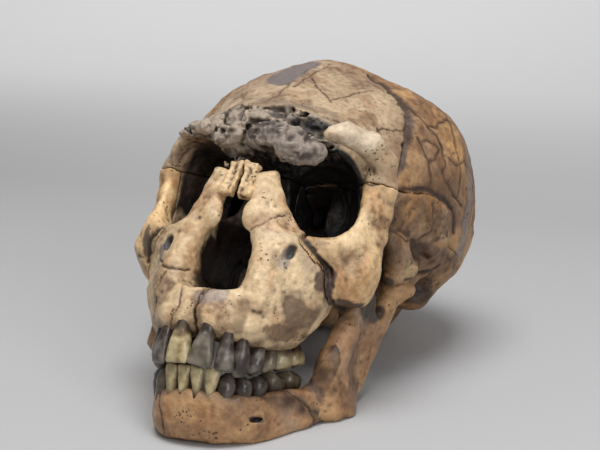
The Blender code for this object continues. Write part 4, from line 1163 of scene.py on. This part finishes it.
# Nasal bones. Two short upright bars stand side by side at the root of the nose, broken off at
# their lower ends, with a dark groove between them.
def nasal_form(side):
    """A tilted block with a hollow down its front, roughened by rubble."""
    def form(points):
        clay = Clay(points * (side, 1, 1))
        clay.add(plate((3.7, -83.3, 18.4), (3.1, 2.3, 8.4), (-23, 0, 3), 1.1), 0, "left")
        clay.cut(ball((3.6, -86.4, 18), (1.3, 1.2, 8), (-23, 0, 0)), 1.5, "left")
        return clay.distances + weathering(points, 0.7, 130) + 0.35 * rubble(points, 135)

    return form


def nasal_colours(points, faces):
    """Plain cream bone."""
    return bone_colours(points, faces, (206, 182, 146), (150, 118, 86), 136)


for label, side in SIDES:
    parts = skin(nasal_form(side), *box_of(side, -1, 11, (-94, 4), (-74, 32)), 0.5)
    place_bone("nasal_" + label, parts, nasal_colours, face_finish)


# Lump of stone. Grey rock from the find still fills the broken brow and hangs over the left orbit.
def lump_form(points):
    """Three overlapping balls under the relief of rubble."""
    clay = Clay(points)
    clay.add(ball((8, -77, 39), (11, 7, 6.5)), 0, "left")
    clay.add(ball((19, -79.5, 35.5), (9, 6, 7.5), (0, 15, 0)), 3, "left")
    clay.add(ball((28, -78, 33), (5, 4.5, 4)), 2, "left")
    return clay.distances + 0.55 * rubble(points, 140)


def lump_colours(points, faces):
    """Grey stone, with painted shade that makes it nearly black towards its back, over the orbit."""
    colours = rubble_colours(points, (150, 136, 124), (80, 68, 61), 140)
    # Painted shade towards the back of the lump
    back = np.clip((points[:, 1] + 76) / 5, 0, 0.85)
    return toward(colours, tone(30, 25, 23), back)


stone_finish = bone_finish("Grey stone", 0.6, 0.35, 0.8)
parts = largest_part(*skin(lump_form, (-8, -90, 24), (38, -64, 50), 0.6))
place_bone("brow_matrix", parts, lump_colours, stone_finish)


# Lower jaw. One heavy bone bends round the tooth row and rises at each end to the hinge at the ear;
# it is orange-tan, with a long crack down its left side.
BRANCH_OUTLINE = [  # a branch of the jaw on the side view, as y and z
    (-31, -61), (-24, -47), (-18.5, -34), (-14, -20), (-11.5, -9), (-19, -9.5), (-26, -22),
    (-31, -25), (-38, -16), (-45, -9), (-50, -20), (-53, -34), (-58, -46), (-60, -60),
    (-52, -71), (-40, -69),
]
LEFT_JAW = ((10, -120, -95), (60, -50, -55))
RIGHT_JAW = ((-40, -120, -95), (0, -80, -60))
JAW_CRACKS = [
    ("side", [(-72, -64), (-67, -68), (-62, -73), (-58, -79)], 0.6, 1.0, LEFT_JAW),
    ("front", [(-14, -70), (-13, -76), (-11, -81), (-10, -88)], 0.5, 0.9, RIGHT_JAW),
    ("side", [(-46, -60), (-40, -52), (-44, -40)], 0.5, 0.7, ((20, -80, -80), (70, 0, -20))),
]
BODY_SQUARENESS = 2.8  # power of the section: two gives an ellipse, and more a squarer one
MENTAL_HOLE = ((25, -88, -78), (2.4, 4, 1.0), (0, -25, 0))  # nerve hole: middle, radii and turn


def jaw_body(points):
    """An upright bar carried along the tooth row: its section is a rounded oblong.

    Each station gives the bar's middle x and y, its top, its foot, its half thickness, and how
    far its top leans out.
    """
    stations = np.array([
        (0, -94.5, -71, -88.5, 6.3, 3.0), (12, -92, -71, -88.5, 6.5, 3.0),
        (21, -82, -69.5, -87, 6.8, 1.5), (28, -68, -65, -81.5, 7.2, 0),
        (34, -55, -62, -75.5, 7.8, 0), (39.5, -42, -60, -69, 6.2, 0),
    ])
    mirrored = stations[:0:-1] * (-1, 1, 1, 1, 1, 1)
    whole = smooth_loop(np.concatenate([mirrored, stations]), 6)
    middle = 6 * (len(stations) - 1)
    line = whole[middle:2 * middle + 1]
    nearest = np.full(len(points), 1e9)
    measures = np.zeros((len(points), 5))
    for a, b in zip(line[:-1], line[1:]):
        along, away = b[:2] - a[:2], points[:, :2] - a[:2]
        share = np.clip(away @ along / (along @ along), 0, 1)
        offset = away - share[:, None] * along
        reach = np.hypot(offset[:, 0], offset[:, 1])
        outside = np.sign(along[1] * away[:, 0] - along[0] * away[:, 1])
        closer = reach < nearest
        nearest[closer] = reach[closer]
        measures[closer, 0] = (reach * outside)[closer]
        measures[closer, 1:] = (a[2:] + share[:, None] * (b - a)[2:])[closer]
    offset, top, foot, thick, lean = measures.T
    half_height = (top - foot) / 2 + 1
    rise = np.clip((points[:, 2] - (top + foot) / 2) / half_height, -4, 4)
    thick = thick * (1 - 0.12 * np.clip(rise, -1, 1))
    section = np.abs((offset - lean * rise) / thick) ** BODY_SQUARENESS + np.abs(rise) ** BODY_SQUARENESS
    return (section ** (1 / BODY_SQUARENESS) - 1) * np.minimum(thick, half_height)


def jaw_form(points):
    """The body with its branches: each is a plate inside its outline that leans outwards as it
    rises, with the knob of the hinge and the column of its front edge added."""
    clay = Clay(points)
    clay.distances = jaw_body(clay.points["both"]).astype(np.float32)
    outline = smooth_loop(BRANCH_OUTLINE, 4)

    def branch(spots):
        side = 42.5 + (spots[:, 2] + 62) * 0.12 + (spots[:, 1] + 35) * 0.12
        thick = 3.4 + np.clip((-48 - spots[:, 2]) / 20, 0, 1) * 1.8
        return soft_max(inside_outline(spots[:, 1:], outline), np.abs(spots[:, 0] - side) - thick, 4)

    clay.add((branch, np.array([30, -66, -80]), np.array([60, 0, 0])), 6)
    clay.add(ball((51, -14.5, -11), (9, 4.6, 4.6), (0, 0, 12)), 4)
    clay.add(rod([(39, -50, -60), (41.5, -56.5, -50), (44.5, -53, -36)], [5.4, 4.2, 3.6], 3), 8)
    near = np.nonzero(np.abs(clay.distances) < RELIEF_REACH)[0]
    spots = points[near]
    clay.distances[near] += weathering(spots, 0.9, 150) + crack_depth(spots, JAW_CRACKS)
    clay.cut(ball(*MENTAL_HOLE), 0.6)
    return np.maximum(clay.distances, -height_over_table(points))


def jaw_colours(points, faces):
    """Tan bone with dark stains, earth along the gums, and painted shade under the cheek and in the
    nerve hole.
    """
    colours = bone_colours(points, faces, (176, 142, 106), (128, 94, 66), 156, 0.7)
    hole, radii, _ = MENTAL_HOLE
    colours = with_stains(colours, points, [
        ((82, 52, 46), 0.8, (40, -58, -77), (5, 6, 4), 158),
        ((112, 84, 66), 0.6, (48, -44, -62), (8, 10, 9), 154),
        # Painted shade where the branch runs under the cheek
        ((34, 25, 21), 0.9, (47, -38, -21), (9, 12, 9), 151),
        # Painted shade inside the nerve hole
        ((44, 42, 46), 0.9, hole, np.array(radii) * 1.15, 159, 0.1),
    ])
    colours = with_cracks(colours, points, JAW_CRACKS)
    at_gum = np.clip((points[:, 2] + 75) / 5, 0, 0.8) * (points[:, 1] < -60)
    return toward(colours, tone(70, 50, 38), at_gum * (0.8 + 0.8 * ripple(points, 4, 157)))


jaw_finish = bone_finish("Jaw bone", 0.46, 0.42, 0.6)
parts = largest_part(*skin(jaw_form, (-64, -112, -100), (64, 0, 2), 0.7))
place_bone("mandible", parts, jaw_colours, jaw_finish)


# Teeth. Enamel crowns stand on dentine roots in the sockets of both jaws; most are dark grey, some
# of the front ones yellow. Each tooth is a profile of rings that follows its own row of sizes.
TOOTH_SIDES = 40
TOOTH_RINGS = 34
# A row gives the outer face's x and y, gum line, biting edge, width, depth, and how yellow it is
# on the left and on the right
UPPER_TEETH = {
    "incisor_1": (5.6, -107.0, -47.5, -61.0, 9.8, 8.0, 0.1, 1.0),
    "incisor_2": (15.0, -103.3, -49.5, -61.8, 7.6, 7.5, 0.0, 0.0),
    "canine": (20.6, -97.0, -50.5, -63.2, 8.0, 8.6, 0.0, 0.0),
    "premolar_3": (24.4, -89.0, -50.5, -60.5, 7.2, 10.5, 0.0, 0.0),
    "premolar_4": (26.8, -81.2, -50.0, -58.6, 7.0, 10.5, 0.3, 0.1),
    "molar_1": (28.8, -71.8, -49.0, -56.4, 10.8, 11.5, 0.7, 0.3),
    "molar_2": (30.2, -60.8, -47.5, -53.6, 10.2, 11.5, 0.9, 0.3),
}
LOWER_TEETH = {
    "incisor_1": (3.1, -102.4, -72.5, -61.0, 5.4, 6.3, 0.95, 0.95),
    "incisor_2": (9.3, -101.2, -72.8, -61.0, 6.0, 6.6, 0.9, 0.9),
    "canine": (15.8, -97.6, -73.0, -61.8, 7.4, 8.2, 0.0, 0.1),
    "premolar_3": (21.0, -90.4, -72.0, -62.2, 7.4, 9.2, 0.0, 0.0),
    "premolar_4": (24.2, -82.4, -68.5, -61.2, 7.4, 9.2, 0.0, 0.0),
    "molar_1": (27.0, -72.4, -65.5, -58.8, 11.2, 10.6, 0.1, 0.0),
    "molar_2": (29.6, -60.6, -62.5, -56.4, 11.2, 10.6, 0.2, 0.0),
}
# Profiles as (share of the crown from the gum, share of the width, share of the depth)
PROFILES = {
    "upper_incisor": [(-0.5, 0.42, 0.5), (-0.15, 0.58, 0.78), (0.1, 0.7, 0.9), (0.35, 0.86, 0.9),
                      (0.65, 1.0, 0.72), (0.88, 1.02, 0.48), (0.96, 0.97, 0.36), (1, 0.84, 0.22)],
    "lower_incisor": [(-0.45, 0.26, 0.5), (-0.1, 0.4, 0.74), (0.15, 0.54, 0.84), (0.45, 0.78, 0.8),
                      (0.8, 1.02, 0.56), (0.96, 1.0, 0.42), (1, 0.88, 0.3)],
    "canine": [(-0.5, 0.44, 0.55), (-0.15, 0.66, 0.78), (0.15, 0.84, 0.92), (0.4, 1.0, 1.0),
               (0.65, 1.0, 0.9), (0.85, 0.8, 0.64), (0.95, 0.54, 0.42), (1, 0.3, 0.22)],
    "premolar": [(-0.5, 0.5, 0.6), (-0.15, 0.64, 0.78), (0.1, 0.78, 0.9), (0.35, 0.96, 1.0),
                 (0.65, 1.03, 1.0), (0.86, 0.9, 0.82), (0.96, 0.7, 0.6), (1, 0.46, 0.4)],
    "molar": [(-0.5, 0.56, 0.6), (-0.15, 0.74, 0.8), (0.1, 0.86, 0.92), (0.35, 0.99, 1.0),
              (0.7, 1.02, 1.0), (0.88, 0.94, 0.9), (0.97, 0.84, 0.78), (1, 0.66, 0.6)],
}
# Power of a crown's outline from above: two gives an ellipse, and more a squarer ring
ROUNDNESS = {"upper_incisor": 2.5, "lower_incisor": 2.5, "canine": 2.1, "premolar": 2.3, "molar": 3.0}
CUSPS = {"molar": 0.7, "premolar": 0.6}  # height of the cusps
TILT = 0.09  # most that a tooth leans along the row, as a share of its height
TWIST = 0.12  # most that it is turned about its own height, in radians


def crown(row, kind, before, after, side, seed):
    """A tooth's grid of points: rounded oblong rings from the root's end to the biting edge, whose
    width and depth follow the profile, with the last ring drawn in to close the edge. Each tooth
    leans and turns a little its own way."""
    x, y, gum, edge, width, depth = row[:6]
    lean, twist = np.random.default_rng(seed + (50 if side > 0 else 0)).uniform(-1, 1, 2)
    along = np.array([after[0] - before[0], after[1] - before[1]])
    along = along / np.linalg.norm(along)
    outside = np.array([along[1], -along[0]])
    outside = outside * np.sign(outside @ (x, y + 60))
    profile = np.array(PROFILES[kind])
    share = np.linspace(profile[0, 0], 1, TOOTH_RINGS)
    wide = np.interp(share, profile[:, 0], profile[:, 1])
    deep = np.interp(share, profile[:, 0], profile[:, 2])
    turn = 2 * np.pi * np.arange(TOOTH_SIDES) / TOOTH_SIDES
    power = ROUNDNESS[kind]
    bulge = (np.abs(np.cos(turn)) ** power + np.abs(np.sin(turn)) ** power) ** (-1 / power)
    across, through = np.cos(turn) * bulge, np.sin(turn) * bulge
    back = depth / 2 if "incisor" not in kind else depth * (0.5 - 0.3 * np.maximum(share, 0))
    back = np.broadcast_to(back, share.shape)
    middle = np.array([x, y]) - outside * back[:, None]
    middle = middle + along * ((share - 0.4) * (edge - gum) * TILT * lean)[:, None]
    own_along = along * np.cos(twist * TWIST) + outside * np.sin(twist * TWIST)
    own_outside = outside * np.cos(twist * TWIST) - along * np.sin(twist * TWIST)
    flat = (
        middle[:, None]
        + (wide[:, None] * across)[..., None] * own_along * width / 2
        + (deep[:, None] * through)[..., None] * own_outside * depth / 2
    )
    level = np.broadcast_to((gum + share * (edge - gum))[:, None], flat.shape[:2]).copy()
    # The edge is worn a little unevenly, and the cheek teeth have blunt cusps
    wear = np.clip((share - 0.75) / 0.25, 0, 1)[:, None]
    cusps = CUSPS.get(kind, 0.0) * np.cos(2 * turn + 0.8) + 0.45 * lean * np.cos(turn)
    level = level + wear * cusps * np.sign(edge - gum)
    points = np.concatenate([flat, level[..., None]], 2).reshape(-1, 3)
    points[:, 0] *= side
    return points + (ripple(points, 2.6, seed) * 0.16 + ripple(points, 1.2, seed + 1) * 0.06)[:, None]


def closed_grid(points, rings, sides):
    """Four-sided faces between the rings, and a fan of thin ones at each end to a middle point."""
    ring, place = np.meshgrid(np.arange(rings - 1), np.arange(sides), indexing="ij")
    following = (place + 1) % sides
    body = np.stack([
        ring * sides + place, ring * sides + following,
        (ring + 1) * sides + following, (ring + 1) * sides + place,
    ], -1).reshape(-1, 4)
    first, last = points[:sides].mean(0), points[-sides:].mean(0)
    place = np.arange(0, sides, 2)
    following, third = place + 1, (place + 2) % sides
    end = (rings - 1) * sides
    tip = np.full(len(place), len(points))
    start_cap = np.stack([tip, third, following, place], 1)
    end_cap = np.stack([tip + 1, end + place, end + following, end + third], 1)
    return np.concatenate([points, [first, last]]), np.concatenate([body, start_cap, end_cap])


def tooth_row(name, table, side, seed):
    """One side's teeth of one jaw as a single mesh, each in its own mixture of grey and yellow."""
    names = list(table)
    all_points, all_faces, yellow, reach = [], [], [], []
    count = 0
    for place, tooth in enumerate(names):
        row = table[tooth]
        before = table[names[place - 1]] if place else (-row[0], row[1])
        after = table[names[min(place + 1, len(names) - 1)]]
        kind = tooth.split("_")[0]
        if kind == "incisor":
            kind = ("upper_" if table is UPPER_TEETH else "lower_") + kind
        points = crown(row, kind, before, after, side, seed + place)
        points, faces = closed_grid(points, TOOTH_RINGS, TOOTH_SIDES)
        corner = points[faces]
        volume = (corner[:, 0] * np.cross(corner[:, 1], corner[:, 2])).sum()
        faces = faces if volume > 0 else faces[:, ::-1]
        all_points.append(points)
        all_faces.append(faces + count)
        yellow.append(np.full(len(points), row[6] if side > 0 else row[7]))
        reach.append((points[:, 2] - row[2]) / (row[3] - row[2]))
        count += len(points)
    points, faces = np.concatenate(all_points), np.concatenate(all_faces)
    yellow, reach = np.concatenate(yellow), np.concatenate(reach)
    count = len(points)
    shade = 0.45 + 0.8 * grain(points, 4, 3, seed)
    grey = (116, 107, 98) if table is UPPER_TEETH else (86, 76, 68)
    dark = toward(np.tile(tone(*grey), (count, 1)), tone(50, 42, 37), shade)
    shade = 0.25 + 0.8 * grain(points, 3.5, 3, seed + 1)
    light = toward(np.tile(tone(184, 168, 128), (count, 1)), tone(124, 97, 62), shade)
    colours = dark * (1 - yellow[:, None]) + light * yellow[:, None]
    at_gum = np.clip(0.38 - reach + 0.25 * ripple(points, 2.5, seed + 2), 0, 0.5) * 1.9
    colours = toward(colours, tone(50, 36, 29), at_gum)
    # Wear and painted highlight: the biting edge is a little paler
    worn = np.clip(reach - 0.9, 0, 0.1) * 10
    colours = toward(colours, tone(150, 140, 126), 0.15 * worn)
    piece = mesh_of(name, points, faces, colours)
    piece.data.materials.append(enamel_finish)
    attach(piece, "root")


enamel_finish = bone_finish("Enamel", 0.28, 0.15, 0.15)
for label, side in SIDES:
    tooth_row("upper_teeth_" + label, UPPER_TEETH, side, 170)
    tooth_row("lower_teeth_" + label, LOWER_TEETH, side, 180)


# Table. A pale sheet of card curves up behind the skull into a plain backdrop, as in a photographer's
# studio: it is flat to the front and rises along a quarter circle at the back.
SHEET_WIDTH = 8.0
SHEET_FRONT = -3.0
BEND_START = 1.2
BEND_RADIUS = 0.8
SHEET_TOP = 4.0
PAPER = (179, 179, 180)


def sheet_points():
    """A profile of a straight run, a quarter circle and a straight rise, drawn out sideways."""
    turn = np.linspace(0, np.pi / 2, 16)
    bend = BEND_START + BEND_RADIUS * np.sin(turn)
    along = np.concatenate([[SHEET_FRONT], bend, [BEND_START + BEND_RADIUS]])
    up = np.concatenate([[0], BEND_RADIUS * (1 - np.cos(turn)), [SHEET_TOP]])
    across = np.linspace(-SHEET_WIDTH / 2, SHEET_WIDTH / 2, 5)
    x, row = np.meshgrid(across, np.arange(len(along)))
    return np.stack([x, along[row], up[row]], -1)


grid = sheet_points()
rows, columns = grid.shape[:2]
index = np.arange(rows * columns).reshape(rows, columns)
cells = np.stack([index[:-1, :-1], index[:-1, 1:], index[1:, 1:], index[1:, :-1]], -1).reshape(-1, 4)
sheet_mesh = bpy.data.meshes.new("studio_sheet")
sheet_mesh.from_pydata(grid.reshape(-1, 3).tolist(), [], cells.tolist())
sheet_mesh.shade_smooth()
sheet = bpy.data.objects.new("studio_sheet", sheet_mesh)
bpy.context.scene.collection.objects.link(sheet)
paper = bpy.data.materials.new("Pale card")
paper.use_nodes = True
paper_shader = paper.node_tree.nodes["Principled BSDF"]
paper_shader.inputs["Roughness"].default_value = 0.8
paper_shader.inputs["Base Color"].default_value = (*tone(*PAPER), 1)
sheet_mesh.materials.append(paper)


# Lights. Soft studio light falls from a wide panel overhead and a little to the front, a weaker one
# shines from the front right, one lights the backdrop, and pale walls all round fill the shadows.
def panel(name, place, aim, size, power):
    """A soft rectangular light turned to shine at its aim."""
    lamp = bpy.data.lights.new(name, "AREA")
    lamp.shape = "RECTANGLE"
    lamp.size, lamp.size_y = size
    lamp.energy = power
    light = bpy.data.objects.new(name, lamp)
    bpy.context.scene.collection.objects.link(light)
    light.location = place
    direction = np.array(aim, float) - np.array(place, float)
    light.rotation_euler = Vector(direction).to_track_quat("-Z", "Y").to_euler()


HEAD = (0.0, 0.0, 0.06)  # what the overhead and side panels are turned to
panel("Overhead panel", (0.06, -0.25, 1.15), HEAD, (0.65, 0.65), 12.5)
panel("Side panel", (0.85, -0.75, 0.55), HEAD, (0.5, 0.5), 4.4)
panel("Backdrop panel", (-0.8, 0.9, 1.0), (-0.8, 2.0, 0.4), (2.5, 0.5), 24)
walls = bpy.data.worlds.new("Walls")
walls.use_nodes = True
walls.node_tree.nodes["Background"].inputs["Color"].default_value = (1, 1, 1, 1)
walls.node_tree.nodes["Background"].inputs["Strength"].default_value = 0.3
bpy.context.scene.world = walls
bpy.context.scene.view_settings.view_transform = "Standard"


# Camera. It looks at the skull from its front left, a little above, from 60 centimetres away.
CAMERA_TURN = np.radians(22.0)
CAMERA_RISE = np.radians(12.62)
CAMERA_ROLL = -0.0014
CAMERA_DISTANCE = 0.6
CAMERA_LENS = 82.5
SENSOR_WIDTH = 36
AIM_RIGHT, AIM_UP, AIM_DEPTH = 0.01363, 0.02493, -0.040  # beside and above the skull's own origin
camera_data = bpy.data.cameras.new("Camera")
camera_data.lens = CAMERA_LENS
camera_data.sensor_width = SENSOR_WIDTH
camera_data.clip_start = 0.01
camera_data.clip_end = 50
camera = bpy.data.objects.new("Camera", camera_data)
bpy.context.scene.collection.objects.link(camera)
level = np.array([-np.sin(CAMERA_TURN), np.cos(CAMERA_TURN), 0])
forward = level * np.cos(CAMERA_RISE) - np.array([0, 0, np.sin(CAMERA_RISE)])
right = np.array([np.cos(CAMERA_TURN), np.sin(CAMERA_TURN), 0])
upward = np.cross(right, forward)
aim = np.array([
    AIM_RIGHT * np.cos(CAMERA_TURN),
    AIM_DEPTH + AIM_RIGHT * np.sin(CAMERA_TURN) + BACKWARD / MILLIMETRES,
    AIM_UP - TABLE / MILLIMETRES,
])
place = aim - forward * CAMERA_DISTANCE
rolled_right = right * np.cos(CAMERA_ROLL) + upward * np.sin(CAMERA_ROLL)
rolled_up = upward * np.cos(CAMERA_ROLL) - right * np.sin(CAMERA_ROLL)
camera.matrix_world = [
    [rolled_right[i] for i in range(3)] + [0], [rolled_up[i] for i in range(3)] + [0],
    [-forward[i] for i in range(3)] + [0], [*place, 1],
]
bpy.context.scene.camera = camera

bpy.context.view_layer.update()
